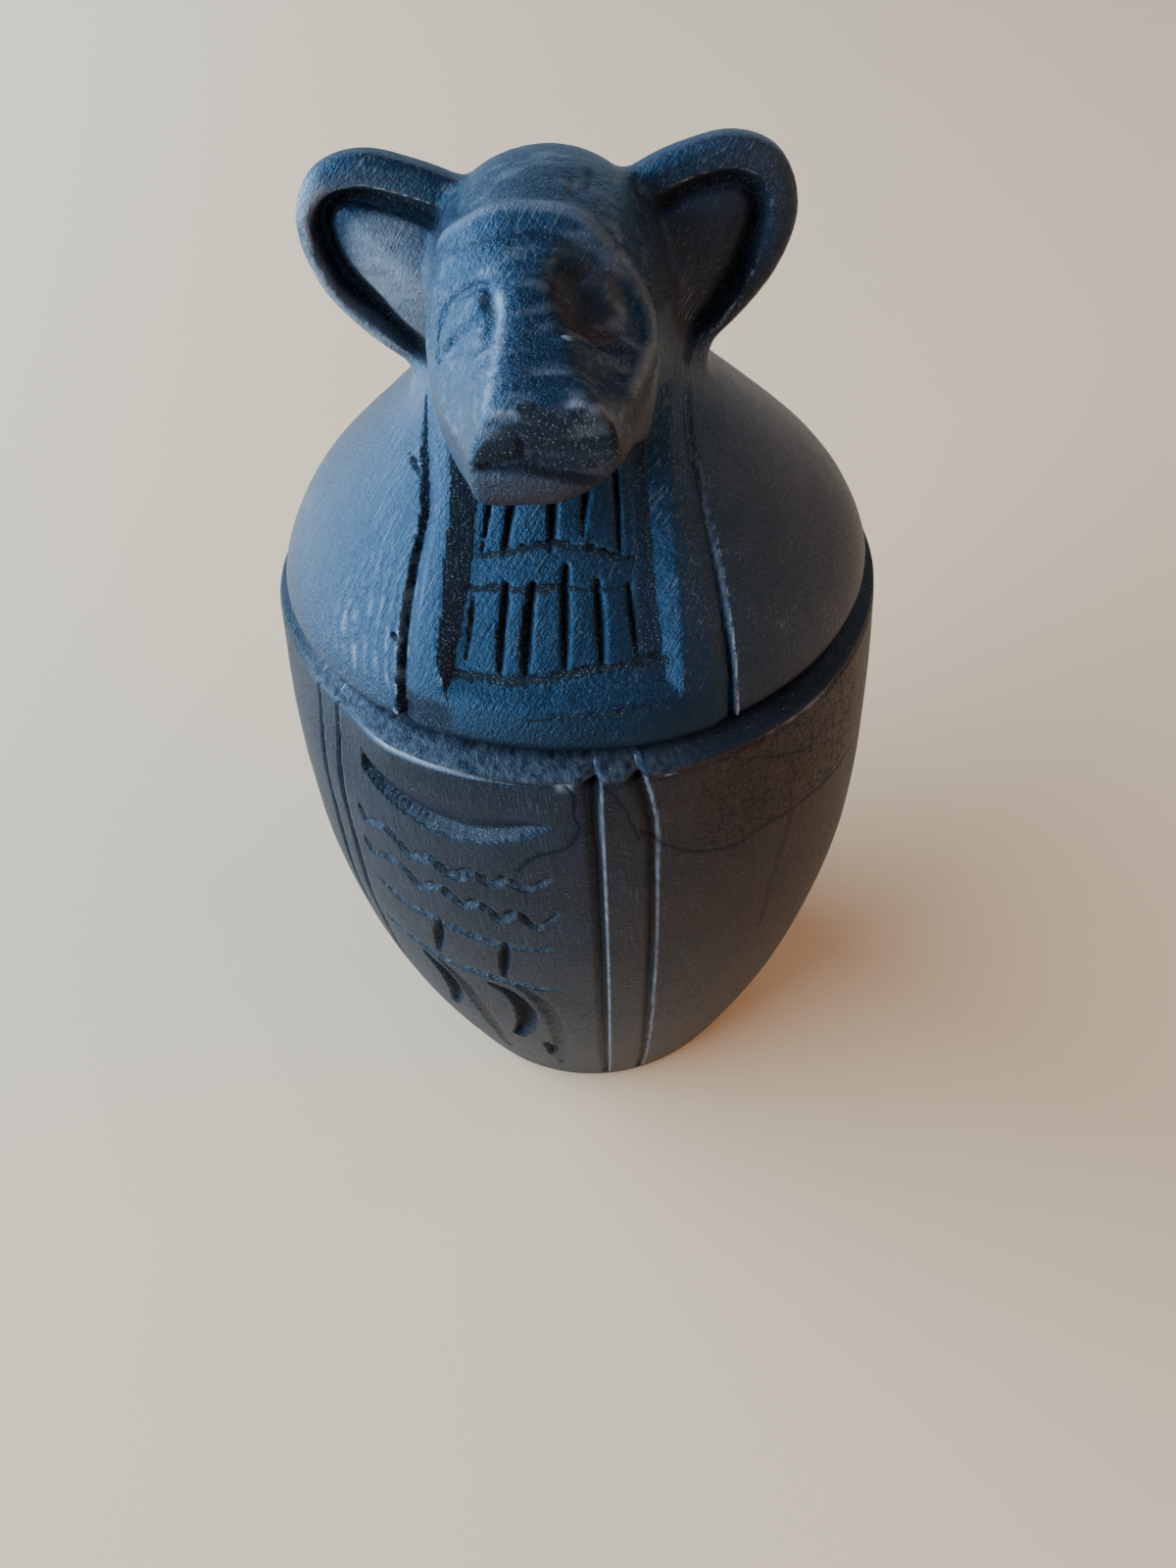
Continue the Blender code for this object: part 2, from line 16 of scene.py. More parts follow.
import bpy
import numpy as np
from mathutils import Matrix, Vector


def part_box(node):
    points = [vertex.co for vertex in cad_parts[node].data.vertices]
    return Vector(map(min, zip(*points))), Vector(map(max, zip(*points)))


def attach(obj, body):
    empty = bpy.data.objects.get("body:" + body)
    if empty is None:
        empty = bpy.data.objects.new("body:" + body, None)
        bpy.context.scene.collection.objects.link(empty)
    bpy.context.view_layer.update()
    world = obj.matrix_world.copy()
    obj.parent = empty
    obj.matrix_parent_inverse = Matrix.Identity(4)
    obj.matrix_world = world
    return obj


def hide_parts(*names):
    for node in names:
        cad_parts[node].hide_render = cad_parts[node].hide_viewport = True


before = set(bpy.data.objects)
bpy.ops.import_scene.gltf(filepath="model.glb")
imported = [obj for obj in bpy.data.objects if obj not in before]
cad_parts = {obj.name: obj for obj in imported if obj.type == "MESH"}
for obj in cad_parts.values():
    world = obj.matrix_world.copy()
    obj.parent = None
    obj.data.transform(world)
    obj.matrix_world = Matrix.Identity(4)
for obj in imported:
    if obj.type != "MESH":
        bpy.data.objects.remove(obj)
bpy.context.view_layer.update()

MM = 0.001
log = logging.getLogger("canopic jar")

Points = np.ndarray
Values = np.ndarray
Path = Sequence[tuple[float, float]]
Colour = tuple[float, float, float, float]


def ease(low: float, high: float, values: Values) -> Values:
    """A smooth rise from 0 at low to 1 at high. High may be below low, and then it falls.

    Args:
        low: where the rise starts.
        high: where it ends.
        values: where to read it.

    Returns:
        t squared times (3 - 2t), with t the clipped share of the way.
    """
    share = np.clip((values - low) / (high - low), 0.0, 1.0)
    return share * share * (3.0 - 2.0 * share)


def blend_min(first: Values, second: Values, reach: float) -> Values:
    """The smaller of two distances, with a fillet where they are within reach of each other.

    Args:
        first: a distance.
        second: another distance.
        reach: the size of the fillet.

    Returns:
        The joined distance, by the quadratic blend h(1 - h) under the mean.
    """
    share = np.clip(0.5 + 0.5 * (second - first) / reach, 0.0, 1.0)
    return second + (first - second) * share - reach * share * (1.0 - share)


def blend_max(first: Values, second: Values, reach: float) -> Values:
    """The larger of two distances, with a rounded edge: blend_min turned inside out.

    Args:
        first: a distance.
        second: another distance.
        reach: the size of the rounding.

    Returns:
        The cut distance.
    """
    return -blend_min(-first, -second, reach)


def smooth_rows(table: Sequence[Sequence[float]], steps: int, closed: bool = False) -> Points:
    """Rows read from a smooth curve through the given rows, which it passes through.

    Args:
        table: the rows, of any width.
        steps: how many rows to read for each span.
        closed: whether the curve runs back to its first row.

    Returns:
        An array of rows, by the cubic through each span whose slopes are half the neighbours' step.
    """
    rows = np.asarray(table, float)
    if closed:
        rows = np.concatenate([rows[-1:], rows, rows[:2]])
    else:
        rows = np.concatenate([2 * rows[:1] - rows[1:2], rows, 2 * rows[-1:] - rows[-2:-1]])
    share = (np.arange(steps) / steps)[None, :, None]
    before, start, end, after = (rows[i : len(rows) - 3 + i][:, None] for i in range(4))
    bend = 2 * before - 5 * start + 4 * end - after
    turn = -before + 3 * start - 3 * end + after
    curve = start + 0.5 * share * ((end - before) + share * (bend + share * turn))
    curve = curve.reshape(-1, rows.shape[1])
    return curve if closed else np.concatenate([curve, rows[-2:-1]])


def ellipsoid(points: Points, centre: Sequence[float], half_sizes: Sequence[float]) -> Values:
    """Roughly the distance to an ellipsoid, below zero inside it.

    Args:
        points: where to read it.
        centre: its centre.
        half_sizes: its half sizes along X, Y and Z.

    Returns:
        k(k - 1) / m, with k the length of p / r and m the length of p / r squared.
    """
    sizes = np.asarray(half_sizes, float)
    away = points - np.asarray(centre, float)
    near = np.linalg.norm(away / sizes, axis=-1)
    slope = np.linalg.norm(away / sizes**2, axis=-1)
    return near * (near - 1.0) / np.maximum(slope, 1e-6)


class Lattice:
    """Smooth noise between -1 and 1: random numbers at the points of a lattice, eased between them."""

    SIDE = 32

    def __init__(self, seed: int) -> None:
        """Fills the lattice from a fixed seed."""
        self.numbers = np.random.default_rng(seed).uniform(-1.0, 1.0, (self.SIDE,) * 3)

    def at(self, points: Points, grain: float) -> Values:
        """The noise at points.

        Args:
            points: where to read it.
            grain: the size of its lumps.

        Returns:
            The eight lattice numbers around each point, weighted by its eased place in the cell.
        """
        place = points / grain
        cell = np.floor(place)
        part = place - cell
        part = part * part * (3.0 - 2.0 * part)
        low = cell.astype(int) % self.SIDE
        high = (low + 1) % self.SIDE
        total = np.zeros(len(points))
        for corner in range(8):
            picks, weight = [], 1.0
            for axis in range(3):
                upper = bool(corner >> axis & 1)
                picks.append((high if upper else low)[:, axis])
                weight = weight * (part[:, axis] if upper else 1.0 - part[:, axis])
            total += weight * self.numbers[tuple(picks)]
        return total


NOISE = Lattice(seed=7)


class Bed(Enum):
    """The section of a cut across its path: the power that its walls follow."""

    NOTCH = 1.0
    ROUND = 2.0


@dataclass(frozen=True)
class Cut:
    """One cut of the chisel along a path on a turned skin.

    A path that runs down the page has its first width on its left, and one that runs to the right
    has it below. That wall is ragged and dusty, and the other one is smooth. swell scales the
    section along the path, beads makes it a chain of pits, and the last field paints a highlight
    along the smooth wall's edge, the side that faces the light.
    """

    path: Path
    depth: float
    widths: tuple[float, float]
    swell: Sequence[float] = (0.5, 1.0, 1.0, 0.5)
    bed: Bed = Bed.NOTCH
    ragged: float = 0.25
    beads: int = 0
    dust: float = 1.0
    shine: float = 0.0


@dataclass
class Marks:
    """What the carving does at each point: its depth, its dust, the tone and lines of the stain with some
    painted shade, and scuffs with painted highlights.
    """

    depth: Values
    dust: Values
    brown_and_shade: Values
    line: Values
    scuff: Values

    @classmethod
    def none(cls, count: int) -> Marks:
        """No marks at a number of points."""
        return cls(*(np.zeros(count) for _ in range(5)))

    def add(self, name: str, values: Values, at: np.ndarray | slice = slice(None)) -> None:
        """Raises one mark to the given values where they are larger, at all points or at some.

        Args:
            name: the mark's field.
            values: the new values.
            at: which points they are for.
        """
        held = getattr(self, name)
        held[at] = np.maximum(held[at], values)

    def attributes(self, wear: Values, shade: Values) -> dict[str, Values]:
        """The values that the materials read, by the names of their attributes.

        Args:
            wear: where edges are rubbed.
            shade: painted shade, darker in recesses and where less light falls.

        Returns:
            A value at each point for each name.
        """
        stain = {"dust": self.dust, "brown_and_shade": self.brown_and_shade, "line": self.line}
        return {**stain, "scuff": self.scuff, "wear": wear, "shade": shade}


class Skin(ABC):
    """A turned surface that cuts are laid on."""

    foot: float
    back: float

    @abstractmethod
    def radius(self, height: Values) -> Values:
        """The skin's radius at heights above its foot."""

    @abstractmethod
    def angle(self, along: Values, height: Values) -> Values:
        """The azimuth in radians of a path's first number at a height."""

    def place(self, angle: Values, height: Values) -> Points:
        """Points on the skin.

        Args:
            angle: azimuths in radians.
            height: heights above the foot.

        Returns:
            Radius times (sin, -cos), set back, and the height above the object's base.
        """
        radius = self.radius(height)
        return np.stack(
            [radius * np.sin(angle), self.back - radius * np.cos(angle), self.foot + height], axis=-1
        )

    def read(self, points: Points) -> tuple[Values, Values]:
        """The azimuth in radians and the height above the foot of points."""
        return np.arctan2(points[..., 0], self.back - points[..., 1]), points[..., 2] - self.foot

    def outward(self, angle: Values, height: Values) -> Points:
        """The unit normals at azimuths and heights: (sin, -cos, minus the radius's slope), made unit."""
        step = 0.05
        slope = (self.radius(height + step) - self.radius(height - step)) / (2 * step)
        normal = np.stack([np.sin(angle), -np.cos(angle), -slope], axis=-1)
        return normal / np.linalg.norm(normal, axis=-1, keepdims=True)

    def laid(self, path: Path, steps: int = 6) -> Points:
        """A smooth line on the skin through a path's points."""
        rows = smooth_rows(path, steps)
        return self.place(self.angle(rows[:, 0], rows[:, 1]), rows[:, 1])


def around(line: Points, points: Points, margin: float) -> np.ndarray:
    """The numbers of the points that lie in a line's box, widened by a margin."""
    return np.flatnonzero(np.all((points > line.min(0) - margin) & (points < line.max(0) + margin), axis=1))


def offsets(line: Points, points: Points) -> tuple[Points, Values]:
    """How points lie from the nearest place on each segment of a line.

    Args:
        line: the points of the line.
        points: the points to measure.

    Returns:
        A vector for each point and segment, and the share of the way along the segment.
    """
    start, span = line[:-1], np.diff(line, axis=0)
    share = np.einsum("pmk,mk->pm", points[:, None] - start[None], span) / (span**2).sum(1)
    share = np.clip(share, 0.0, 1.0)
    return points[:, None] - (start[None] + share[..., None] * span[None]), share


def beside(line: Points, points: Points, outward: Points) -> tuple[Values, Values]:
    """How far points lie beside a line, and how far along it.

    Args:
        line: the points of the line.
        points: the points to measure.
        outward: the skin's normals at those points.

    Returns:
        The signed distance to the nearest segment, above zero on a falling line's left, and the
        share of the way along the line.
    """
    gap, share = offsets(line, points)
    nearest = np.argmin((gap**2).sum(-1), axis=1)
    rows = np.arange(len(points))
    gap = gap[rows, nearest]
    span = np.diff(line, axis=0)
    side = np.sign(np.einsum("pk,pk->p", np.cross(span[nearest], outward), gap))
    return side * np.linalg.norm(gap, axis=1), (nearest + share[rows, nearest]) / len(span)


def chisel(skin: Skin, cuts: Sequence[Cut], points: Points, marks: Marks) -> None:
    """Adds cuts to the marks at points on a skin.

    Args:
        skin: the surface that the cuts follow.
        cuts: the cuts.
        points: points on the skin.
        marks: the marks to deepen. A cut's depth there is its depth times (1 - x to the bed's
            power), with x the distance beside its path over its width.
    """
    rough = NOISE.at(points, 0.55) + 0.6 * NOISE.at(points + 11.0, 0.24)
    angle, height = skin.read(points)
    for cut in cuts:
        line = skin.laid(cut.path)
        near = around(line, points, 1.6 * max(cut.widths))
        if not len(near):
            continue
        outward = skin.outward(angle[near], height[near])
        gap, along = beside(line, points[near], outward)
        share = np.interp(along, np.linspace(0.0, 1.0, len(cut.swell)), cut.swell)
        if cut.beads:
            share = share * (0.62 + 0.46 * np.abs(np.sin(np.pi * cut.beads * along)))
        ragged = cut.ragged * np.where(gap > 0, 1.0, 0.35)
        width = np.where(gap > 0, *cut.widths) * share * (1.0 + ragged * rough[near])
        across = np.abs(gap) / np.maximum(width, 0.05)
        depth = cut.depth * share * (1.0 - np.clip(across, 0.0, 1.0) ** cut.bed.value)
        marks.add("depth", depth, near)
        reach = np.where(gap > 0, 1.15, 0.3 if cut.bed is Bed.NOTCH else 0.9)
        marks.add("dust", cut.dust * ease(reach + 0.25, reach - 0.2, across), near)
        # Painted highlight: a pale band along the edge of the smooth wall, the side that faces the light.
        edge = ease(0.6, 0.95, across) * ease(1.7, 1.1, across) * (gap < 0)
        marks.add("scuff", cut.shine * edge * (0.75 + 0.5 * rough[near]), near)


def draw(skin: Skin, path: Path, width: float, points: Points) -> Values:
    """A soft line painted along a path, 1 at its middle.

    Args:
        skin: the surface that the line follows.
        path: its points.
        width: its half width.
        points: points on the skin.

    Returns:
        The line's strength at each point.
    """
    line = skin.laid(path)
    strength = np.zeros(len(points))
    near = around(line, points, 2.0 * width + 0.5)
    if len(near):
        angle, height = skin.read(points[near])
        wander = 0.35 * NOISE.at(points[near] + 5.0, 0.9)
        gap, _ = beside(line, points[near], skin.outward(angle, height))
        strength[near] = ease(width, 0.3 * width, np.abs(gap + wander * 0.4))
    return strength


def stone_mesh(name: str, points: Points, faces: np.ndarray, marks: dict[str, Values]) -> bpy.types.Object:
    """A smooth-shaded object from points in millimetres, with one attribute for each mark.

    Args:
        name: the piece's name.
        points: the points.
        faces: rows of point numbers, all of one length, or a list of rows.
        marks: a value at each point for each attribute's name.

    Returns:
        The new object, linked to the scene.
    """
    mesh = bpy.data.meshes.new(name)
    mesh.from_pydata((points * MM).tolist(), [], faces if isinstance(faces, list) else faces.tolist())
    mesh.shade_smooth()
    for mark, values in marks.items():
        attribute = mesh.attributes.new(mark, "FLOAT", "POINT")
        attribute.data.foreach_set("value", np.clip(values, 0.0, 1.0).astype(np.float32))
    piece = bpy.data.objects.new(name, mesh)
    bpy.context.scene.collection.objects.link(piece)
    return piece


def worn_edges(points: Points, faces: np.ndarray, softness: int) -> Values:
    """Where a surface is convex, so that hands and sanding have rubbed it.

    Args:
        points: the mesh's points in millimetres.
        faces: quads, as rows of four point numbers.
        softness: how many times the values are averaged with their neighbours.

    Returns:
        0 to 1 at each point: the eased curvature, which is the offset of a point from its
        neighbours' mean along its normal, over the square of their distance.
    """
    ends = np.concatenate([faces[:, [0, 1]], faces[:, [1, 2]], faces[:, [2, 3]], faces[:, [3, 0]]])
    across = np.cross(points[faces[:, 2]] - points[faces[:, 0]], points[faces[:, 3]] - points[faces[:, 1]])
    normal = np.stack(
        [np.bincount(faces.ravel(), np.repeat(across[:, k], 4), len(points)) for k in range(3)], axis=1
    )
    normal /= np.maximum(np.linalg.norm(normal, axis=1, keepdims=True), 1e-9)
    tally = np.maximum(np.bincount(ends[:, 0], minlength=len(points)), 1)

    def mean(values: Values) -> Values:
        """The mean of a value over each point's neighbours."""
        return np.bincount(ends[:, 0], values[ends[:, 1]], len(points)) / tally

    offset = sum((points[:, k] - mean(points[:, k])) * normal[:, k] for k in range(3))
    spacing = np.linalg.norm(points[ends[:, 0]] - points[ends[:, 1]], axis=1)
    square = np.bincount(ends[:, 0], spacing**2, len(points)) / tally
    curve = 2.0 * offset / np.maximum(square, 1e-6)
    for _ in range(softness):
        curve = 0.5 * curve + 0.5 * mean(curve)
    return ease(0.25, 1.6, curve)


@dataclass
class JarSkin(Skin):
    """The outside of the jar: an ovoid on a flat foot."""

    height: float
    belly_radius: float
    belly_height: float = 44.0
    belly_curve: float = 1.75
    foot_radius: float = 19.0
    rim_radius: float = 27.0
    foot: float = 0.0
    back: float = 0.0

    def radius(self, height: Values) -> Values:
        """The radius at a height: a power curve below the belly and a parabola above it."""
        below = np.clip((self.belly_height - height) / self.belly_height, 0.0, 1.0)
        above = (height - self.belly_height) / (self.height - self.belly_height)
        low = (self.belly_radius - self.foot_radius) * below**self.belly_curve
        high = (self.belly_radius - self.rim_radius) * above**2
        return self.belly_radius - np.where(height < self.belly_height, low, high)

    def angle(self, along: Values, height: Values) -> Values:
        """A jar path's first number is an azimuth in degrees."""
        return np.radians(along)


@dataclass
class Jar:
    """The hollow vessel: its turned section, the cuts in its panel and the tide lines of its stain."""

    skin: JarSkin
    wall: float = 6.0
    floor: float = 7.0
    mouth_radius: float = 18.5
    mouth_depth: float = 7.0
    mouth_ease: float = 2.0
    ledge_width: float = 1.6
    ledge_drop: float = 0.8
    foot_round: float = 1.0
    unevenness: float = 0.16
    panel_step: float = 0.2
    side_step: float = 0.36
    back_step: float = 1.5
    row_step: float = 0.24

    def azimuths(self) -> Values:
        """The columns' azimuths in radians: close over the panel, wider at the side and the back."""
        stops = ((-60.0, 20.0, self.panel_step), (20.0, 68.0, self.side_step), (68.0, 300.0, self.back_step))
        runs = []
        for start, end, step in stops:
            count = round(np.radians(end - start) * self.skin.belly_radius / step)
            runs.append(np.linspace(start, end, count, endpoint=False))
        return np.radians(np.concatenate(runs))

    def section(self) -> tuple[Points, Values]:
        """The rows of the section, up the inside, over the rim, down the outside and under the foot.

        Returns:
            Radius and height pairs, and 1 at the rows of the outside, where cuts go.
        """
        top = self.skin.height
        mouth_foot = top - self.mouth_depth
        inside_heights = np.linspace(self.floor + 1.5, mouth_foot, 14)
        inside = np.stack([self.skin.radius(inside_heights) - self.wall, inside_heights], axis=1)
        floor_edge = float(self.skin.radius(np.array(self.floor)) - self.wall)
        shoulder = top - self.ledge_drop
        ledge = float(self.skin.radius(np.array(shoulder))) - self.ledge_width
        fine = np.arange(shoulder - 0.25, 16.0, -self.row_step)
        coarse = np.arange(fine[-1] - 0.5, self.foot_round, -0.55)
        heights = np.concatenate([fine, coarse, [self.foot_round]])
        side = np.stack([self.skin.radius(heights), heights], axis=1)
        edge = float(self.skin.radius(np.array(shoulder)))
        turn = np.radians(np.arange(15.0, 90.0, 15.0))
        foot_radius = self.skin.foot_radius - self.foot_round * (1 - np.cos(turn))
        foot = np.stack([foot_radius, self.foot_round * (1 - np.sin(turn))], axis=1)
        slope = [
            (ledge + share * self.ledge_width, top - 0.05 - share * (self.ledge_drop - 0.25))
            for share in (0.15, 0.3, 0.45, 0.6, 0.75, 0.88)
        ]
        before = np.array(
            [
                (0.5 * floor_edge, self.floor),
                (floor_edge - 1.5, self.floor),
                (floor_edge - 0.4, self.floor + 0.4),
                *inside,
                (self.mouth_radius, mouth_foot + self.mouth_ease),
                (self.mouth_radius, top - 0.4),
                (self.mouth_radius + 0.12, top - 0.12),
                (self.mouth_radius + 0.4, top),
                (0.5 * (self.mouth_radius + ledge), top),
                (ledge - 0.5, top),
                (ledge, top - 0.03),
                *slope,
                (edge - 0.05, shoulder + 0.13),
                (edge, shoulder - 0.02),
            ]
        )
        flat_radius = self.skin.foot_radius - self.foot_round
        under = np.array([(share * flat_radius, 0.0) for share in (1.0, 0.66, 0.33)])
        rows = np.concatenate([before, side, foot, under])
        outside = np.zeros(len(rows))
        outside[len(before) : len(before) + len(side)] = 1.0
        return rows, outside

    def cuts(self) -> list[Cut]:
        """The panel's rows, none of which is a letter, and the two bordered strips beside it."""
        edge = partial(Cut, ragged=0.06, dust=0.0)
        # The strips' grooves carry painted highlights along their smooth walls.
        strips = (
            edge(((6.0, 66.2), (5.8, 62.4), (6.0, 52.7), (6.0, 40.0), (6.1, 20.0), (6.4, 3.0)),
                 0.8, (1.15, 0.34), (1.1, 1.0, 0.95, 0.9, 0.9, 0.7), shine=0.8),
            edge(((13.2, 66.2), (14.4, 63.6), (15.4, 59.7), (15.4, 53.8), (15.2, 40.0), (16.0, 22.0),
                  (18.2, 3.0)), 0.75, (1.0, 0.34), (1.1, 1.0, 0.9, 0.85, 0.9, 0.7), shine=0.6),
            edge(((-53.8, 66.0), (-52.6, 60.0), (-51.8, 52.0), (-52.0, 30.0), (-54.0, 3.0)), 0.6, (0.5, 0.35),
                 shine=0.2),
            edge(((-47.0, 66.0), (-46.6, 60.0), (-46.2, 52.0), (-45.5, 30.0), (-44.0, 3.0)), 0.6, (0.5, 0.35),
                 shine=0.2),
        )
        wave = partial(Cut, bed=Bed.ROUND, ragged=0.45)
        waves = (
            wave(((-41.4, 55.6), (-40.0, 54.5), (-34.8, 55.3), (-29.4, 53.3), (-25.4, 54.3), (-21.4, 52.8),
                  (-17.2, 54.2), (-13.4, 53.1), (-10.6, 54.3), (-7.2, 53.2), (-2.8, 54.9)),
                 0.7, (0.62, 0.42), beads=16),
            wave(((-41.6, 51.1), (-40.2, 49.9), (-33.4, 51.0), (-28.6, 49.3), (-24.0, 50.5), (-19.6, 48.9),
                  (-16.6, 49.9), (-12.4, 48.2), (-9.6, 49.7), (-6.0, 47.7), (-2.0, 49.8)),
                 0.7, (0.6, 0.4), beads=15),
        )
        pit = partial(Cut, bed=Bed.ROUND, dust=0.2)
        pits = (
            pit(((-41.4, 55.9), (-40.2, 54.7)), 1.0, (0.32, 0.32)),
            pit(((-34.4, 55.2), (-29.8, 53.5)), 1.05, (0.36, 0.42), ragged=0.4, beads=4),
            pit(((-24.8, 54.3), (-21.6, 53.1)), 1.05, (0.34, 0.4), ragged=0.4, beads=3),
            pit(((-16.8, 54.2), (-13.8, 53.2)), 1.05, (0.34, 0.4), ragged=0.4, beads=3),
            pit(((-9.8, 54.2), (-7.8, 53.4)), 1.0, (0.32, 0.36), ragged=0.3),
            pit(((-41.6, 51.3), (-40.4, 50.0)), 1.0, (0.32, 0.32)),
            pit(((-32.8, 50.9), (-29.0, 49.4)), 1.05, (0.36, 0.42), ragged=0.4, beads=4),
            pit(((-23.4, 50.4), (-20.0, 49.0)), 1.05, (0.34, 0.4), ragged=0.4, beads=3),
            pit(((-16.0, 49.8), (-12.8, 48.4)), 1.05, (0.34, 0.4), ragged=0.4, beads=3),
            pit(((-9.2, 49.5), (-6.8, 48.0)), 1.0, (0.36, 0.4), ragged=0.3),
        )
        bar = partial(Cut, bed=Bed.ROUND, ragged=0.35)
        leg = partial(Cut, ragged=0.15, dust=0.5)
        bars = (
            bar(((-40.0, 45.6), (-34.8, 44.9), (-26.8, 44.8), (-21.0, 44.5), (-12.0, 44.0), (-3.8, 44.0)),
                0.6, (0.65, 0.3), beads=13),
            bar(((-42.0, 38.2), (-35.6, 37.4), (-27.0, 36.8), (-17.2, 36.7), (-9.8, 36.2), (-2.6, 36.0)),
                0.55, (0.7, 0.35), beads=12),
            leg(((-26.0, 44.4), (-27.2, 41.6), (-28.4, 38.2)), 0.95, (0.4, 0.8)),
            leg(((-12.4, 44.0), (-13.4, 41.2), (-14.2, 37.6)), 0.95, (0.4, 0.8)),
        )
        hook = partial(Cut, bed=Bed.ROUND)
        hooks = (
            hook(((-33.0, 35.4), (-30.0, 32.4), (-29.4, 28.0), (-32.6, 23.0)), 1.25, (0.75, 1.1),
                 (0.4, 0.9, 1.1, 0.9, 0.5), ragged=0.12, dust=0.4),
            hook(((-18.0, 34.6), (-13.8, 33.2), (-11.8, 29.0), (-13.0, 24.4), (-16.0, 20.4)),
                 1.35, (0.9, 1.1), (0.35, 0.8, 1.2, 1.1, 0.7), ragged=0.12, dust=0.4),
            hook(((-9.2, 19.0), (-8.4, 16.6), (-9.4, 13.6)), 1.0, (0.7, 0.8), ragged=0.15, dust=0.4),
            hook(((-10.8, 35.6), (-6.0, 32.0), (-4.0, 25.6), (-4.6, 18.0), (-7.4, 8.5)), 0.5, (1.5, 0.45),
                 ragged=0.15, dust=0.1),
            hook(((-28.4, 35.6), (-24.6, 32.6), (-22.4, 27.0), (-21.6, 19.0), (-23.0, 11.0)),
                 0.45, (1.4, 0.5), ragged=0.15, dust=0.1),
        )
        return [*strips, *waves, *pits, *bars, *hooks]

    def crescent(self, points: Points, marks: Marks) -> None:
        """Sinks the crescent: a slope down from its upper edge to a steep, pitted lower one.

        Args:
            points: points on the skin.
            marks: the marks to deepen. The depth grows with the share of the way down from the
                upper edge, then falls off over the last fifth.
        """
        angle, height = self.skin.read(points)
        azimuth = np.degrees(angle)
        left_tip, right_tip = (-39.6, 63.3), (-1.0, 61.4)
        upper = smooth_rows((left_tip, (-35.0, 62.4), (-28.0, 62.1), (-20.0, 62.4), (-12.0, 62.5),
                             (-5.0, 62.0), right_tip), 6)
        lower = smooth_rows((left_tip, (-38.8, 61.2), (-35.0, 59.8), (-30.2, 58.8), (-24.4, 58.2),
                             (-19.0, 57.9), (-13.8, 58.3), (-7.8, 59.5), (-3.4, 60.7), right_tip), 6)
        top = np.interp(azimuth, upper[:, 0], upper[:, 1])
        foot = np.interp(azimuth, lower[:, 0], lower[:, 1]) + 0.14 * NOISE.at(points, 0.5)
        inside = (azimuth > left_tip[0]) & (azimuth < right_tip[0]) & (np.abs(angle) < 1.2)
        open_height = np.maximum(top - foot, 0.05)
        share = np.clip((top - height) / open_height, 0.0, 1.0)
        slope = np.minimum(share / 0.8, (1.0 - share) / 0.2)
        depth = np.where(inside, np.minimum(open_height / 2.2, 1.0) * np.clip(slope, 0.0, 1.0), 0.0)
        marks.add("depth", depth)
        marks.add("dust", np.where(depth > 0.02, 0.25 + 0.75 * ease(0.6, 0.95, share), 0.0))
        pits = Cut(((-39.0, 62.2), (-38.0, 61.2), (-35.0, 60.3), (-30.2, 59.3), (-24.4, 58.8), (-19.0, 58.5)),
                   1.3, (0.34, 0.3), (1.2, 1.2, 1.0, 0.9, 0.4), Bed.ROUND, ragged=0.6, beads=23, dust=0.6)
        chisel(self.skin, [pits], points, marks)

    def stain(self, points: Points, marks: Marks) -> None:
        """Paints the tide lines, the hairline crack, a brown patch, painted shade in brown over the right
        side, and pale scuffs with painted highlights along the rim's edge.
        """
        angle, height = self.skin.read(points)
        azimuth = np.degrees(angle)
        mottle = NOISE.at(points, 6.0)
        tide = ((13.0, 60.2), (15.4, 58.7), (18.8, 57.2), (22.4, 55.9), (26.0, 55.3), (31.6, 54.7),
                (36.4, 55.3), (43.0, 55.0), (53.4, 54.4), (66.0, 53.6))
        crack = ((0.4, 66.8), (0.8, 65.7), (2.2, 64.5), (1.8, 62.9), (2.6, 61.3), (0.6, 59.0), (-4.6, 57.8),
                 (-8.4, 55.6))
        second = ((7.0, 65.8), (10.0, 63.6), (11.6, 61.0), (12.8, 59.0))
        web = ((30.0, 65.2), (36.0, 63.8), (41.6, 62.4), (47.4, 61.2), (53.0, 62.4))
        branch = ((41.6, 62.4), (44.0, 59.6), (43.2, 56.4))
        facet = ((42.4, 59.1), (43.6, 54.8), (41.8, 50.2), (40.0, 45.1), (39.0, 39.0))
        for path, width, strength in (
            (tide, 0.30, 0.6), (crack, 0.24, 1.0), (second, 0.2, 0.7), (web, 0.22, 0.6), (branch, 0.22, 0.5),
            (facet, 0.5, 0.3),
        ):
            marks.add("line", strength * draw(self.skin, path, width, points))
        # Painted shade: brown over the jar's right side, away from the main light.
        side = ease(-6.0, 34.0, azimuth + 8.0 * mottle) * ease(150.0, 90.0, np.abs(azimuth))
        patch = ease(22.0, 32.0, azimuth + 3 * mottle) * ease(66.0, 56.0, azimuth)
        patch = patch * ease(54.6, 57.5, height + 0.8 * mottle) * ease(66.6, 65.4, height)
        marks.brown_and_shade[:] = np.clip(0.8 * side + 0.5 * patch, 0.0, 1.0)
        # Scuffs with painted highlights: pale marks along the rim's edge at the front left and right, and a
        # spot at the front.
        edge = ease(0.42, 0.12, np.abs(height - 65.9 + 0.2 * mottle))
        left = ease(-62.0, -50.0, azimuth) * ease(-8.0, -26.0, azimuth)
        right = ease(24.0, 34.0, azimuth) * ease(60.0, 50.0, azimuth) * ease(-0.2, 0.5, NOISE.at(points, 1.5))
        spot = ease(65.0, 66.0, height) * ease(2.0, 0.6, np.abs(azimuth - 0.6))
        rubbed = np.maximum(edge * np.maximum(0.9 * left, 0.7 * right), 0.7 * spot)
        marks.add("scuff", rubbed)

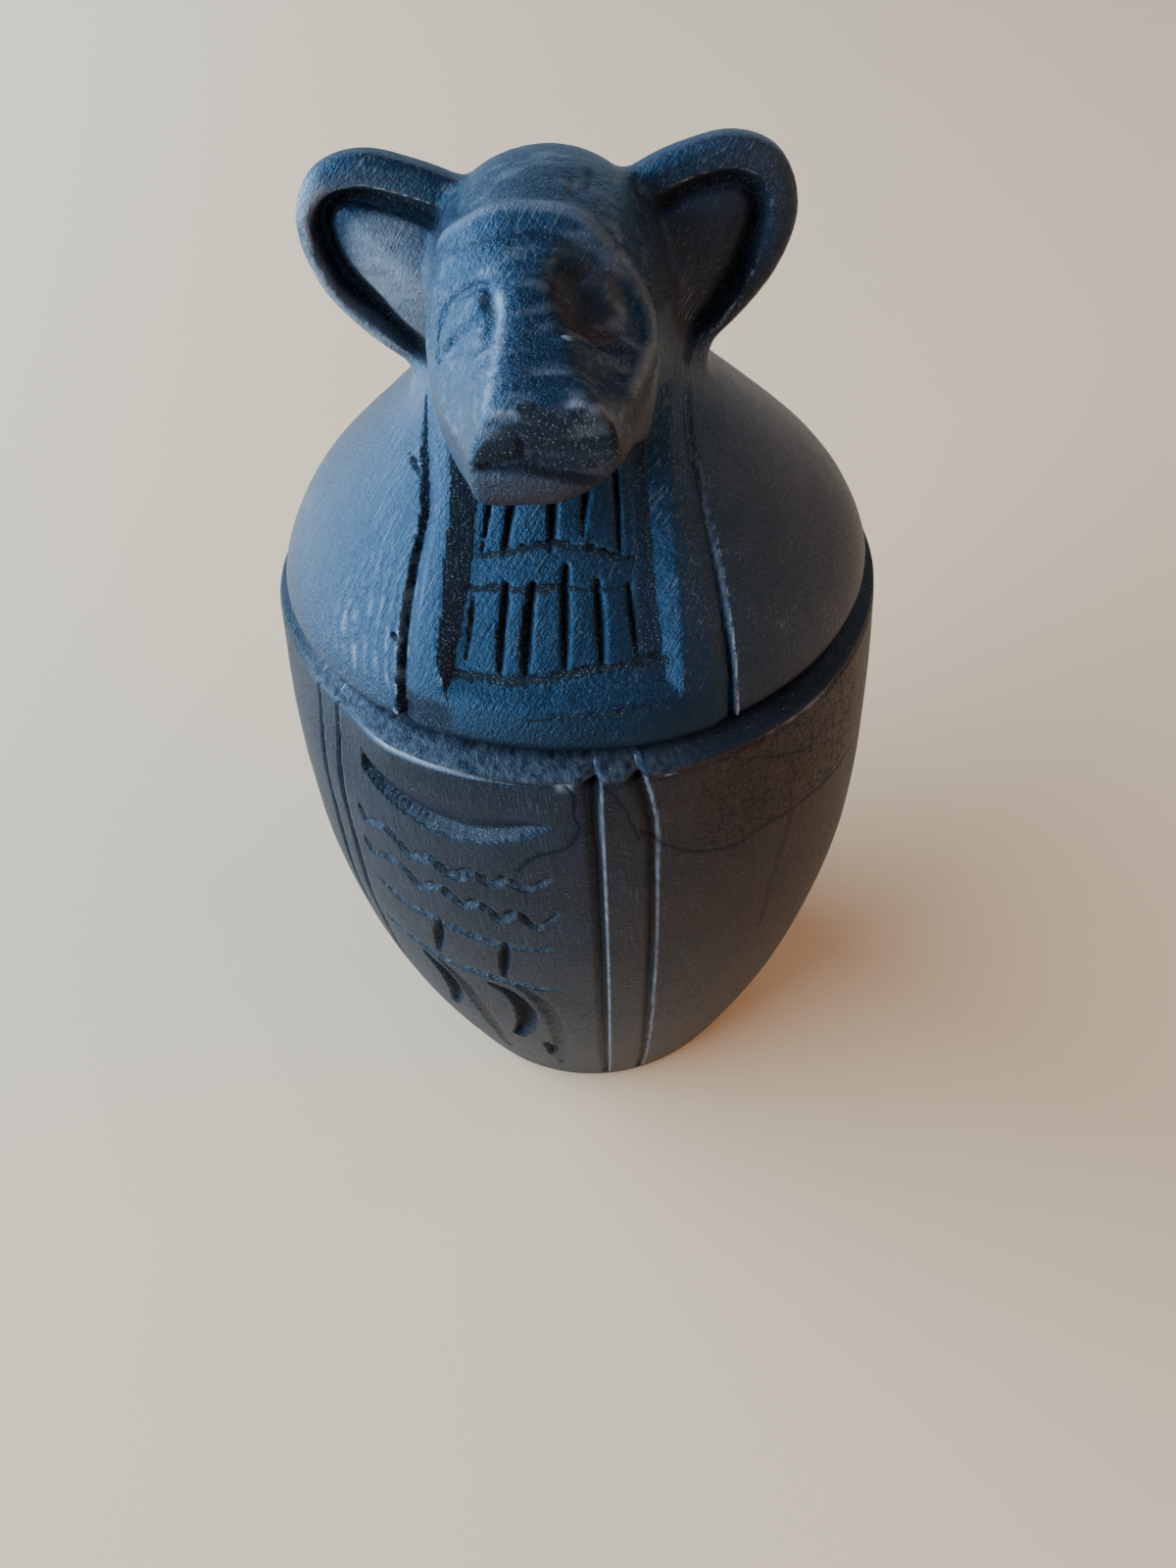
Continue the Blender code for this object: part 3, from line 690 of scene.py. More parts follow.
    def build(self) -> bpy.types.Object:
        """Makes the jar's mesh: the section's rows turned through the columns, and carved outside."""
        rows, outside = self.section()
        angles = self.azimuths()
        grid_angle, _ = np.meshgrid(angles, rows[:, 0])
        radius = np.repeat(rows[:, :1], len(angles), axis=1)
        height = np.repeat(rows[:, 1:], len(angles), axis=1)
        points = np.stack([radius * np.sin(grid_angle), -radius * np.cos(grid_angle), height], axis=-1)
        flat = points.reshape(-1, 3)
        skin_rows = np.flatnonzero(np.repeat(outside > 0, len(angles)))
        marks = Marks.none(len(flat))
        skin_marks = Marks.none(len(skin_rows))
        on_skin = flat[skin_rows]
        chisel(self.skin, self.cuts(), on_skin, skin_marks)
        self.crescent(on_skin, skin_marks)
        self.stain(on_skin, skin_marks)
        angle, level = self.skin.read(on_skin)
        uneven = self.unevenness * 0.5 * (1.0 + NOISE.at(on_skin, 9.0)) + 0.02 * (1 + NOISE.at(on_skin, 2.4))
        flat_side = ease(-82.0, -58.0, np.degrees(angle)) * ease(-30.0, -46.0, np.degrees(angle))
        uneven = uneven + 0.8 * flat_side * ease(56.0, 66.0, level)
        gritty = 0.07 * skin_marks.dust * NOISE.at(on_skin + 3.0, 0.38)
        sink = np.maximum(skin_marks.depth + uneven + gritty + 0.05 * skin_marks.line, 0.0)
        flat[skin_rows] -= sink[:, None] * self.skin.outward(angle, level)
        for name in ("depth", "dust", "brown_and_shade", "line", "scuff"):
            getattr(marks, name)[skin_rows] = getattr(skin_marks, name)
        ledge = (np.abs(flat[:, 2] - 66.6) < 0.5) & (np.hypot(flat[:, 0], flat[:, 1]) > 24.0)
        azimuth = np.degrees(grid_angle.ravel())
        front = ease(-75.0, -50.0, azimuth) * ease(30.0, 10.0, azimuth)
        marks.add("scuff", 0.16 * ledge * front * (0.6 + NOISE.at(flat, 0.32)))
        self.rim(flat, rows, len(angles), sink)
        return self.close(flat, len(rows), len(angles), marks)

    def rim(self, flat: Points, rows: Points, columns: int, sink: Values) -> None:
        """Moves the ledge and the rim's edge with the side below them, so that no step is left."""
        first = int(np.argmax(rows[:, 1] >= self.skin.height - 0.02))
        ledge_rows = [i for i in range(first, first + 14) if rows[i, 0] > self.mouth_radius + 3.0]
        side_sink = sink[:columns]
        for row in ledge_rows:
            span = slice(row * columns, (row + 1) * columns)
            share = ease(24.0, 27.0, rows[row, 0])
            across = flat[span, :2] / np.linalg.norm(flat[span, :2], axis=1, keepdims=True)
            flat[span, :2] -= across * (share * np.minimum(side_sink, 1.2))[:, None]
            flat[span, 2] -= 0.05 * share * (1.0 + NOISE.at(flat[span], 1.7))

    def close(self, flat: Points, rows: int, columns: int, marks: Marks) -> bpy.types.Object:
        """Joins the rows with quads and closes the floor and the underside at a point each."""
        index = np.arange(rows * columns).reshape(rows, columns)
        after = np.roll(index, -1, axis=1)
        quads = np.stack([index[:-1], after[:-1], after[1:], index[1:]], axis=-1).reshape(-1, 4)
        wear = worn_edges(flat, quads, softness=1) * ease(0.3, 0.0, np.maximum(marks.dust, marks.depth))
        low, high = rows * columns, rows * columns + 1
        points = np.concatenate([flat, [(0.0, 0.0, self.floor), (0.0, 0.0, 0.0)]])
        fans = [(low, int(b), int(a)) for a, b in zip(index[0], after[0])]
        fans += [(high, int(a), int(b)) for a, b in zip(index[-1], after[-1])]
        # Painted shade: the floors of the deeper cuts are darkened.
        values = marks.attributes(wear, 0.8 * ease(0.5, 1.2, marks.depth))
        padded = {name: np.append(value, (0.0, 0.0)) for name, value in values.items()}
        return stone_mesh("carved_jar", points, [*quads.tolist(), *fans], padded)


@dataclass
class DomeSkin(Skin):
    """The outside of the lid's dome: a full shoulder that eases into the neck."""

    foot: float
    back: float = 0.7
    height: float = 26.5
    edge_radius: float = 25.3
    edge_rise: float = 1.5
    full_radius: float = 26.2
    top_radius: float = 8.2
    shoulder: float = 1.8
    neck: float = 2.5

    def radius(self, height: Values) -> Values:
        """The radius at a rise above the seat: (1 - share to the shoulder's power) to the neck's power."""
        share = np.clip(height / self.height, 0.0, 1.0)
        narrow = (1.0 - share**self.shoulder) ** self.neck
        full = self.top_radius + (self.full_radius - self.top_radius) * narrow
        tuck = np.clip(1.0 - height / self.edge_rise, 0.0, 1.0) ** 2
        return full + (self.edge_radius - self.full_radius) * tuck

    def angle(self, along: Values, height: Values) -> Values:
        """A lid path's first number is how far across the front it lies, in millimetres."""
        return np.arcsin(np.clip(along / self.radius(height), -1.0, 1.0))


@dataclass
class Dome:
    """The lid's dome with its plug, the lappets of its headcloth and the sunk chest panel."""

    skin: DomeSkin
    plug_radius: float = 17.3
    plug_length: float = 4.0
    plug_round: float = 0.8
    chest_depth: float = 1.0

    def cuts(self) -> list[Cut]:
        """The lappets' grooves and the strokes round the chest panel, none of which is a letter."""
        # The right lappet's groove carries a painted highlight along its smooth wall.
        lappets = (
            Cut(((-10.3, 18.6), (-10.6, 15.9), (-10.7, 13.3), (-11.0, 11.9), (-11.5, 10.4), (-11.9, 8.9),
                 (-12.3, 7.3), (-12.6, 5.0), (-12.8, 2.0), (-12.9, -0.4)), 0.9, (0.22, 0.4),
                (0.3, 0.8, 1.0, 1.0, 1.1, 1.3), ragged=0.5, dust=0.8),
            Cut(((9.8, 18.2), (10.1, 16.3), (10.8, 14.5), (11.3, 12.4), (11.9, 10.5), (12.4, 8.7),
                 (12.9, 6.4), (13.2, 4.2), (13.3, 0.0), (13.3, -0.6)), 0.95, (0.3, 0.36),
                (0.3, 0.55, 0.6, 0.8, 1.1, 1.4), ragged=0.2, dust=0.5, shine=0.35),
            Cut(((-11.6, 15.2), (-10.9, 14.6)), 0.45, (0.25, 0.25), ragged=0.5),
            Cut(((-13.3, 6.2), (-12.5, 6.0)), 0.5, (0.22, 0.22), ragged=0.5),
        )
        shoulder = partial(Cut, swell=(0.6, 1.0, 1.0, 1.0), ragged=0.05, dust=0.0)
        shoulders = (
            shoulder(((-10.1, 18.6), (-10.5, 15.9), (-10.6, 13.3), (-11.4, 10.4), (-12.2, 7.3), (-12.6, 4.0),
                      (-12.8, 0.0)), 0.42, (0.3, 1.5)),
            shoulder(((10.0, 18.2), (10.3, 16.3), (11.4, 12.4), (12.5, 8.7), (13.2, 4.2), (13.3, 0.0)),
                     0.4, (1.7, 0.3)),
        )
        return [*lappets, *shoulders]

    def strokes(self) -> list[Cut]:
        """The strokes on the bed of the chest panel: two rows of uprights and four lines across."""
        lines = (
            Cut(((-7.7, 9.5), (-4.9, 9.8), (-1.6, 10.0), (0.6, 10.0), (5.2, 9.8)), 0.36, (0.3, 0.14),
                (0.8, 1.0, 0.9, 1.0, 0.6), ragged=0.5),
            Cut(((-6.9, 11.2), (-4.4, 11.7), (-1.4, 12.2), (1.7, 12.1), (3.4, 11.8), (5.1, 11.3),
                 (6.4, 11.2)), 0.42, (0.32, 0.16), (0.6, 1.0, 1.1, 1.1, 1.0, 0.7), ragged=0.5),
            Cut(((-8.5, 4.9), (-6.5, 5.0), (-4.0, 5.0), (-1.3, 5.2), (1.7, 5.6), (4.9, 5.8), (8.2, 5.9)),
                0.4, (0.34, 0.16), (1.0, 1.0, 1.0, 1.0, 0.9), ragged=0.5),
            Cut(((-2.4, 3.2), (0.3, 3.5), (2.8, 3.6), (5.6, 3.7), (8.2, 3.9)), 0.3, (0.28, 0.16),
                (0.4, 1.0, 1.0, 0.8), ragged=0.45, dust=0.7),
        )
        low = (
            Cut(((-7.1, 9.4), (-7.4, 7.6), (-7.8, 5.3)), 0.5, (0.3, 0.3), ragged=0.5),
            Cut(((-4.6, 9.8), (-4.9, 7.6), (-5.0, 5.2)), 0.85, (0.22, 0.7), (0.8, 1.0, 1.0, 0.7), ragged=0.6),
            Cut(((-2.3, 10.0), (-2.7, 7.6), (-2.8, 4.9)), 1.0, (0.45, 0.66), (0.8, 1.0, 1.1, 0.5),
                ragged=0.6),
            Cut(((0.4, 10.9), (0.3, 8.4), (0.4, 5.6)), 0.9, (0.22, 0.75), (0.8, 1.0, 1.0, 0.6), ragged=0.4),
            Cut(((3.0, 10.1), (3.2, 8.0), (3.4, 5.6)), 0.85, (0.22, 0.72), (0.8, 1.0, 1.0, 0.6), ragged=0.3),
            Cut(((5.7, 9.7), (6.0, 7.8), (6.3, 5.7)), 0.7, (0.3, 0.36), (0.8, 1.0, 0.9, 0.5), ragged=0.4),
        )
        fading = (1.0, 1.0, 0.9, 0.6)
        high = (
            Cut(((-5.3, 18.0), (-6.0, 14.5), (-6.6, 11.4)), 0.75, (0.22, 0.42), fading, ragged=0.6),
            Cut(((-3.6, 18.0), (-4.2, 14.7), (-4.8, 11.6)), 0.9, (0.22, 0.9), fading, ragged=0.6),
            Cut(((-0.6, 18.0), (-0.7, 15.0), (-0.8, 12.1)), 0.95, (0.3, 0.8), (1.0, 1.0, 1.0, 0.8),
                ragged=0.5),
            Cut(((2.5, 18.0), (2.1, 15.1), (1.9, 12.1)), 0.95, (0.35, 0.75), (1.3, 1.1, 0.8, 0.1),
                ragged=0.4),
            Cut(((4.4, 18.0), (4.8, 14.6), (5.0, 11.4)), 0.85, (0.26, 0.45), fading, ragged=0.3),
        )
        return [*lines, *low, *high]

    def chest(self, points: Points, marks: Marks) -> None:
        """Sinks the panel between the lappets, with slanting side walls and a gentle foot.

        Args:
            points: points on the skin.
            marks: the marks to deepen. The depth is the panel's, times the least of the eased
                shares of the way in from the left wall, the right wall and the foot.
        """
        across, rise = points[:, 0], points[:, 2] - self.skin.foot
        left = ((-8.4, 19.0), (-8.5, 15.0), (-8.6, 13.2), (-9.0, 10.4), (-9.3, 7.8), (-9.5, 6.0), (-9.1, 4.6),
                (-8.9, 3.4))
        bed_left = ((-7.0, 19.0), (-7.1, 14.0), (-7.5, 10.2), (-8.3, 6.8), (-8.7, 4.6), (-8.7, 3.4))
        bed_right = ((6.8, 19.0), (7.0, 15.0), (7.3, 12.0), (7.6, 9.0), (8.0, 6.6), (8.3, 3.4))
        right = ((8.4, 19.0), (8.5, 15.0), (8.7, 12.4), (9.1, 9.0), (9.3, 6.6), (9.3, 3.4))
        sides = (smooth_rows(side, 4)[::-1] for side in (left, bed_left, bed_right, right))
        edge, foot, far_foot, far_edge = (np.interp(rise, side[:, 1], side[:, 0]) for side in sides)
        rough = 0.16 * NOISE.at(points, 0.7)
        from_left = np.clip((across - edge + rough) / (foot - edge), 0.0, 1.0)
        from_right = np.clip((far_edge - across + 0.4 * rough) / (far_edge - far_foot), 0.0, 1.0)
        from_foot = ease(3.5, 5.3, rise + 0.4 * rough)
        front = points[:, 1] < self.skin.back
        share = np.minimum(np.minimum(from_left, from_right), from_foot) * front
        marks.add("depth", self.chest_depth * share)
        on_left = (from_left < 0.98) & (share > 0.02)
        on_right = (from_right < 0.98) & (share > 0.02)
        gritty = 0.9 * on_left + 0.18 * on_right + 0.55 * ease(5.4, 6.6, across) * (share > 0.9)
        marks.add("dust", np.clip(gritty, 0.0, 1.0))

    def carve(self, points: Points) -> Marks:
        """The marks of the dome's carving, read where points stand over its skin."""
        angle, rise = self.skin.read(points)
        on_skin = self.skin.place(angle, rise)
        marks = Marks.none(len(points))
        self.chest(on_skin, marks)
        bed = Marks.none(len(points))
        chisel(self.skin, self.strokes(), on_skin, bed)
        marks.depth += bed.depth
        marks.add("dust", bed.dust)
        chisel(self.skin, self.cuts(), on_skin, marks)
        marks.depth += 0.05 * marks.dust * NOISE.at(on_skin + 3.0, 0.36)
        notch_at = self.skin.laid(((-12.3, 1.6), (-12.2, 1.5)))[0]
        notch = np.linalg.norm((on_skin - notch_at) / (1.1, 1.1, 1.0), axis=1)
        marks.add("depth", 0.9 * (1.0 - np.clip(notch, 0.0, 1.0) ** 2))
        chip = ease(-7.4, -9.4, on_skin[:, 0]) * ease(-13.2, -12.0, on_skin[:, 0]) * ease(3.9, 2.9, rise)
        marks.brown_and_shade = chip * (on_skin[:, 1] < 0)
        marks.add("dust", 0.55 * marks.brown_and_shade)
        return marks

    def lift(self, angle: Values, rise: Values) -> Values:
        """How far the stone stands off the turned skin: a fuller left flank and a proud right slab."""
        azimuth = np.degrees(angle)
        slab = ease(33.0, 31.5, azimuth) * ease(4.0, 18.0, azimuth) * ease(9.0, 3.0, rise)
        below_neck = ease(22.0, 15.0, rise)
        left = ease(-34.0, -60.0, azimuth) * ease(-150.0, -100.0, azimuth) * ease(3.0, 9.0, rise) * below_neck
        right = ease(34.0, 60.0, azimuth) * ease(150.0, 100.0, azimuth) * ease(4.0, 10.0, rise) * below_neck
        return 0.3 * slab + 0.45 * left - 0.35 * right + 0.035 * self.chatter(angle, rise)

    def chatter(self, angle: Values, rise: Values) -> Values:
        """The ripples that a shaking blade left low on the left flank: sin(5 times the way across)."""
        azimuth = np.degrees(angle)
        across = 0.45 * azimuth
        spread = ease(-56.0, -46.0, azimuth) * ease(-27.0, -33.0, azimuth)
        spread = spread * ease(1.5, 4.0, rise) * ease(13.0, 8.0, rise)
        place = np.stack([across, rise, np.zeros_like(rise)], axis=-1)
        return spread * np.sin(5.0 * (across + 0.45 * rise) + 2.6 * NOISE.at(place, 2.6))

    def distance(self, points: Points) -> Values:
        """Roughly the distance to the dome and its plug, below zero inside them."""
        angle, rise = self.skin.read(points)
        radius = self.skin.radius(rise) + self.lift(angle, rise)
        step = 0.2
        slope = (self.skin.radius(rise + step) - self.skin.radius(rise - step)) / (2 * step)
        out = np.hypot(points[:, 0], points[:, 1] - self.skin.back)
        shell = (out - radius) / np.sqrt(1.0 + slope**2)
        near = np.flatnonzero((np.abs(shell) < 2.2) & (points[:, 1] < 0.0) & (rise < 20.0))
        if len(near):
            shell[near] += self.carve(points[near]).depth
        dome = blend_max(shell, -rise, 0.25)
        dome = np.maximum(dome, rise - self.skin.height + 2.0)
        plug = np.maximum(out - self.plug_radius, -rise - self.plug_length)
        plug = blend_max(plug, rise - 2.0, self.plug_round)
        return np.minimum(dome, plug)


@dataclass
class Ear:
    """One wide ear: a leaning plate with a raised rim, a groove inside it and a swelling bowl."""

    side: int
    outline: Sequence[tuple[float, float]]
    thickness: float = 3.0
    lean: float = 7.0
    back: float = 0.5
    rim_width: float = 2.1
    groove_width: float = 0.85
    groove_depth: float = 1.0
    bowl_depth: float = 0.5
    swell: float = 1.5
    spread: float = 3.3
    taper: float = 0.0
    wedge: float = 0.0
    rounding: float = 1.1

    def __post_init__(self) -> None:
        """Reads the outline's polygon once."""
        self.polygon = smooth_rows(self.outline, 5, closed=True)

    def inside(self, flat: Points) -> Values:
        """The signed distance to the outline in its plane, below zero inside.

        Args:
            flat: across and up pairs.

        Returns:
            The least distance to an edge, with its sign turned at each edge that a level ray crosses.
        """
        best = np.full(len(flat), np.inf)
        sign = np.ones(len(flat))
        for start, end in zip(self.polygon, np.roll(self.polygon, -1, axis=0)):
            span = end - start
            away = flat - start
            share = np.clip(away @ span / (span @ span), 0.0, 1.0)
            best = np.minimum(best, ((away - share[:, None] * span) ** 2).sum(1))
            above = flat[:, 1] >= start[1]
            below = flat[:, 1] < end[1]
            left = span[0] * away[:, 1] > span[1] * away[:, 0]
            flips = (above & below & left) | (~above & ~below & ~left)
            sign = np.where(flips, -sign, sign)
        return sign * np.sqrt(best)

    def distance(self, points: Points) -> Values:
        """Roughly the distance to the ear, in the head's own frame.

        Args:
            points: points in millimetres from the head's foot.

        Returns:
            The distance, far from the ear a plain large value.
        """
        found = np.full(len(points), 4.0)
        across = points[:, 0] * self.side
        close = (across > 1.5) & (across < 22.0) & (points[:, 2] > -4.0) & (np.abs(points[:, 1]) < 9.0)
        near = np.flatnonzero(close)
        if not len(near):
            return found
        lean = np.radians(self.lean)
        ahead = self.back - points[near, 1]
        up = points[near, 2] * np.cos(lean) - ahead * np.sin(lean)
        front = ahead * np.cos(lean) + points[near, 2] * np.sin(lean)
        flat = np.stack([across[near], up], axis=1)
        edge = self.inside(flat)
        deep = -edge
        rim = self.rim(flat)
        groove = np.clip(1.0 - ((deep - rim - self.groove_width) / self.groove_width) ** 2, 0.0, 1.0)
        bowl = ease(rim, rim + self.groove_width, deep)
        bulge = ease(rim + 0.3, rim + 0.3 + self.spread, deep) * ease(4.5, 9.5, flat[:, 0])
        sink = self.groove_depth * groove + self.bowl_depth * bowl - self.swell * bulge
        sink = sink + self.wedge * bowl * np.clip(flat[:, 0] - 11.5, -4.0, 6.0)
        sink = sink * ease(4.0, 8.0, flat[:, 0])
        front_face = front - (0.5 * self.thickness - sink)
        back_face = -front - 0.5 * self.thickness
        plate = blend_max(front_face, back_face, 0.2)
        found[near] = blend_max(plate, edge, self.rounding)
        return found

    def rim(self, flat: Points) -> Values:
        """The width of the rim, full at the top of the ear and narrow towards the side and the lobe."""
        side = 1.0 - self.taper * ease(12.5, 16.5, flat[:, 0]) * ease(15.5, 12.0, flat[:, 1])
        return self.rim_width * side * (0.45 + 0.55 * ease(2.0, 10.5, flat[:, 1]))


@dataclass(frozen=True)
class Crease:
    """A soft line cut into the head, or raised from it where its depth is below zero.

    Its points are across, ahead and up from the head's foot, and lie on the head's surface.
    """

    points: Sequence[tuple[float, float, float]]
    depth: float
    width: float

    def sink(self, own: Points) -> Values:
        """The crease's depth at points: its own times exp(-(distance / width) squared)."""
        line = smooth_rows(self.points, 4) * (1.0, -1.0, 1.0)
        found = np.zeros(len(own))
        near = around(line, own, 2.6 * self.width)
        if len(near):
            gap, _ = offsets(line, own[near])
            found[near] = self.depth * np.exp(-np.min((gap**2).sum(-1), axis=1) / self.width**2)
        return found


@dataclass
class Head:
    """The animal's head: a skull under a headcloth, a wedge of a face and muzzle, and two ears."""

    foot: tuple[float, float, float]
    turn: float = 4.0
    shift: float = -0.7
    skull_centre: tuple[float, float, float] = (0.0, -0.5, 8.1)
    skull_half: tuple[float, float, float] = (8.8, 9.6, 8.45)
    nape_centre: tuple[float, float, float] = (0.0, -1.0, -1.0)
    nape_half: tuple[float, float, float] = (9.6, 9.6, 7.0)
    face: Sequence[Sequence[float]] = (
        (-3.0, 15.4, -1.5, 7.4, 2.2, 0.00, 0.00),
        (0.9, 15.7, -1.2, 7.9, 2.2, 0.00, 0.00),
        (5.0, 15.9, -0.9, 8.3, 2.3, 0.06, 0.06),
        (7.4, 15.4, -0.8, 8.4, 2.5, 0.18, 0.24),
        (9.3, 14.1, -0.6, 8.3, 3.0, 0.42, 0.58),
        (11.2, 12.8, -0.3, 8.0, 3.6, 0.54, 0.74),
        (13.5, 11.8, 0.1, 7.4, 4.2, 0.56, 0.74),
        (16.0, 11.0, 0.6, 6.6, 4.6, 0.50, 0.62),
        (19.0, 10.2, 1.2, 5.5, 4.8, 0.36, 0.34),
        (22.5, 9.4, 1.9, 4.8, 4.8, 0.22, 0.12),
    )
    ears: list[Ear] = field(default_factory=list)

    def own(self, points: Points) -> Points:
        """Points in the head's own frame, from its foot and turned to face along -Y."""
        away = points - np.asarray(self.foot)
        angle = np.radians(self.turn)
        across = away[:, 0] * np.cos(angle) + away[:, 1] * np.sin(angle)
        deep = away[:, 1] * np.cos(angle) - away[:, 0] * np.sin(angle)
        return np.stack([across, deep, away[:, 2]], axis=1)

    def face_distance(self, points: Points) -> Values:
        """Roughly the distance to the wedge of the face.

        Args:
            points: points in the head's own frame.

        Returns:
            (n - 1) times the smaller half size, with n the superellipse norm of the section there.
        """
        ahead = -points[:, 1]
        table = smooth_rows(self.face, 8)
        columns = (np.interp(ahead, table[:, 0], table[:, k]) for k in range(1, 7))
        top, low, half, square, left, right = columns
        reach = 0.5 * (top - low)
        up = (points[:, 2] - 0.5 * (top + low)) / reach
        pinch = left + (right - left) * ease(-1.0, 1.0, points[:, 0] - self.shift)
        wide = half * (1.0 - pinch * np.clip(up, 0.0, 1.0))
        across = np.abs(points[:, 0] - self.shift) / wide
        norm = (across**square + np.abs(up) ** square) ** (1.0 / square)
        return (norm - 1.0) * np.minimum(wide, reach)

    def muzzle_end(self, points: Points, face: Values) -> Values:
        """Cuts the muzzle off with its slanted nose, its lower lip and the slit of the mouth."""
        across = points[:, 0] - self.shift
        ahead, up = -points[:, 1], points[:, 2]
        nose = (ahead - 20.35) * 0.97 + (up - 9.3) * 0.24
        lip = ahead - 21.2 + 0.02 * across**2 + 0.05 * (up - 5.0)
        chin = (ahead - 20.8) * 0.5 + (2.3 + 0.14 * np.clip(across, 0.0, 6.0) ** 1.85 - up) * 0.87
        cut = blend_max(nose + 0.014 * across**2, lip, 0.6)
        cut = blend_max(cut, chin, 1.1)
        face = blend_max(face, cut, 0.6)
        mouth_up = np.interp(points[:, 0], (-5.3, -4.0, -2.9, -2.2, -1.3, 0.2, 2.1, 4.0),
                             (5.4, 5.4, 5.5, 5.45, 5.2, 4.8, 4.2, 3.7))
        slit = np.hypot((ahead - 21.3) * 0.6, (up - mouth_up) * 1.7) - 0.7 * ease(5.7, 3.6, np.abs(across))
        groove = np.hypot((points[:, 0] + 2.2) * 1.2, (up - 6.9) * 0.5) - 0.25
        face = blend_max(face, -(np.maximum(groove, 20.5 - ahead)), 0.3)
        under = ellipsoid(points, (-1.6, -21.9, 6.2), (3.4, 1.4, 0.9))
        face = blend_max(face, -under, 0.6)
        return blend_max(face, -slit, 0.35)

    def lined(self, points: Points, face: Values) -> Values:
        """Cuts the creases into the face, at points in the head's own frame."""
        for crease in self.creases():
            face = face + crease.sink(points)
        return face

    def brow_band(self) -> Crease:
        """The raised band over the brow, which runs down the right cheek."""
        return Crease(((-7.6, 4.2, 12.4), (-6.6, 5.1, 13.7), (-5.2, 5.9, 14.7), (-3.7, 6.1, 15.5),
                       (-0.4, 6.7, 15.9), (1.9, 7.0, 15.4), (3.1, 7.4, 14.5), (4.2, 7.6, 13.2),
                       (5.1, 7.6, 12.2), (5.9, 7.8, 10.8), (6.9, 8.1, 8.7), (6.8, 9.8, 7.5),
                       (5.9, 12.8, 7.1), (5.1, 15.0, 6.9)), -0.40, 0.66)

    def creases(self) -> tuple[Crease, ...]:
        """The lines of the eyes, the brow's band, the cheek and the nicks beside the ears."""
        left_eye = (
            Crease(((-7.9, 10.6, 7.6), (-7.5, 9.2, 9.1), (-6.8, 9.2, 10.7), (-5.7, 9.5, 11.6),
                    (-4.7, 9.8, 12.1), (-4.0, 10.2, 12.2)), 0.42, 0.30),
            Crease(((-3.9, 10.9, 12.1), (-3.7, 12.2, 11.4), (-4.0, 13.5, 10.7), (-4.9, 13.9, 10.1),
                    (-6.3, 12.4, 9.2), (-7.8, 10.7, 7.7)), 0.30, 0.34),
            Crease(((-7.0, 10.3, 8.9), (-5.9, 10.8, 10.4), (-4.9, 10.9, 11.4)), -0.45, 0.80),
            Crease(((-6.8, 11.1, 8.8), (-5.7, 12.0, 10.1), (-4.8, 12.0, 11.0)), 0.34, 0.26),
            Crease(((-4.4, 13.6, 10.6), (-4.0, 12.7, 11.4), (-4.0, 11.4, 11.8)), 0.50, 0.50),
        )
        right_eye = (
            Crease(((1.4, 9.6, 11.9), (1.9, 10.6, 11.2), (2.2, 12.2, 10.8)), 1.25, 1.15),
            Crease(((2.2, 10.0, 11.6), (2.9, 10.5, 10.8), (3.7, 11.0, 10.1)), 1.35, 1.55),
            Crease(((4.1, 10.0, 11.0), (4.6, 10.4, 9.8)), -0.45, 0.80),
            Crease(((3.7, 9.6, 12.2), (4.9, 9.0, 10.9), (5.9, 9.2, 9.1), (6.3, 10.0, 8.0)), 0.40, 0.28),
            Crease(((3.4, 9.0, 12.9), (5.4, 8.4, 11.3), (6.4, 8.8, 9.2), (6.8, 9.8, 7.8)), -0.30, 0.45),
            Crease(((0.9, 14.3, 11.2), (2.4, 13.7, 10.1), (3.6, 12.8, 9.3), (4.8, 11.8, 8.6)), 0.36, 0.30),
            Crease(((1.1, 15.0, 10.9), (2.6, 14.5, 9.8), (3.8, 13.6, 8.9), (5.0, 12.5, 8.2)), -0.25, 0.45),
            Crease(((2.6, 16.6, 8.9), (3.6, 15.0, 8.4), (4.4, 13.6, 7.6)), 0.45, 1.30),
        )
        under_band = Crease(((-5.9, 7.0, 13.6), (-3.8, 7.6, 14.5), (-0.4, 8.0, 14.9), (1.8, 8.3, 14.2),
                             (3.4, 8.6, 12.9)), 0.22, 0.55)
        joints = (
            Crease(((-6.9, 4.0, 13.6), (-7.9, 4.2, 12.0), (-8.4, 5.0, 10.4), (-8.6, 6.4, 8.8),
                    (-8.5, 8.9, 7.7)), 0.40, 0.40),
            Crease(((-6.0, 0.8, 15.6), (-6.4, 1.6, 14.4), (-6.2, 3.4, 14.3)), 0.60, 0.32),
            Crease(((-5.2, 0.6, 15.8), (-5.4, 1.8, 15.2)), 0.40, 0.26),
            Crease(((2.0, 2.4, 16.6), (1.9, 3.3, 16.2), (1.8, 5.1, 15.8)), 0.35, 0.30),
            Crease(((3.1, 1.4, 16.4), (3.0, 2.2, 16.0), (2.8, 4.3, 15.7)), 0.40, 0.32),
        )
        return (*left_eye, *right_eye, self.brow_band(), under_band, *joints)

    def distance(self, points: Points) -> Values:
        """Roughly the distance to the head, below zero inside it."""
        own = self.own(points)
        ahead = -own[:, 1]
        face = self.face_distance(own)
        face = self.muzzle_end(own, face)
        face = np.maximum(face, -ahead - 2.0)
        skull = ellipsoid(own, self.skull_centre, self.skull_half)
        skull = blend_min(skull, ellipsoid(own, self.nape_centre, self.nape_half), 2.5)
        head = blend_min(skull, face, 1.2)
        for ear in self.ears:
            head = blend_min(head, ear.distance(own), 0.9)
        return self.lined(own, head)


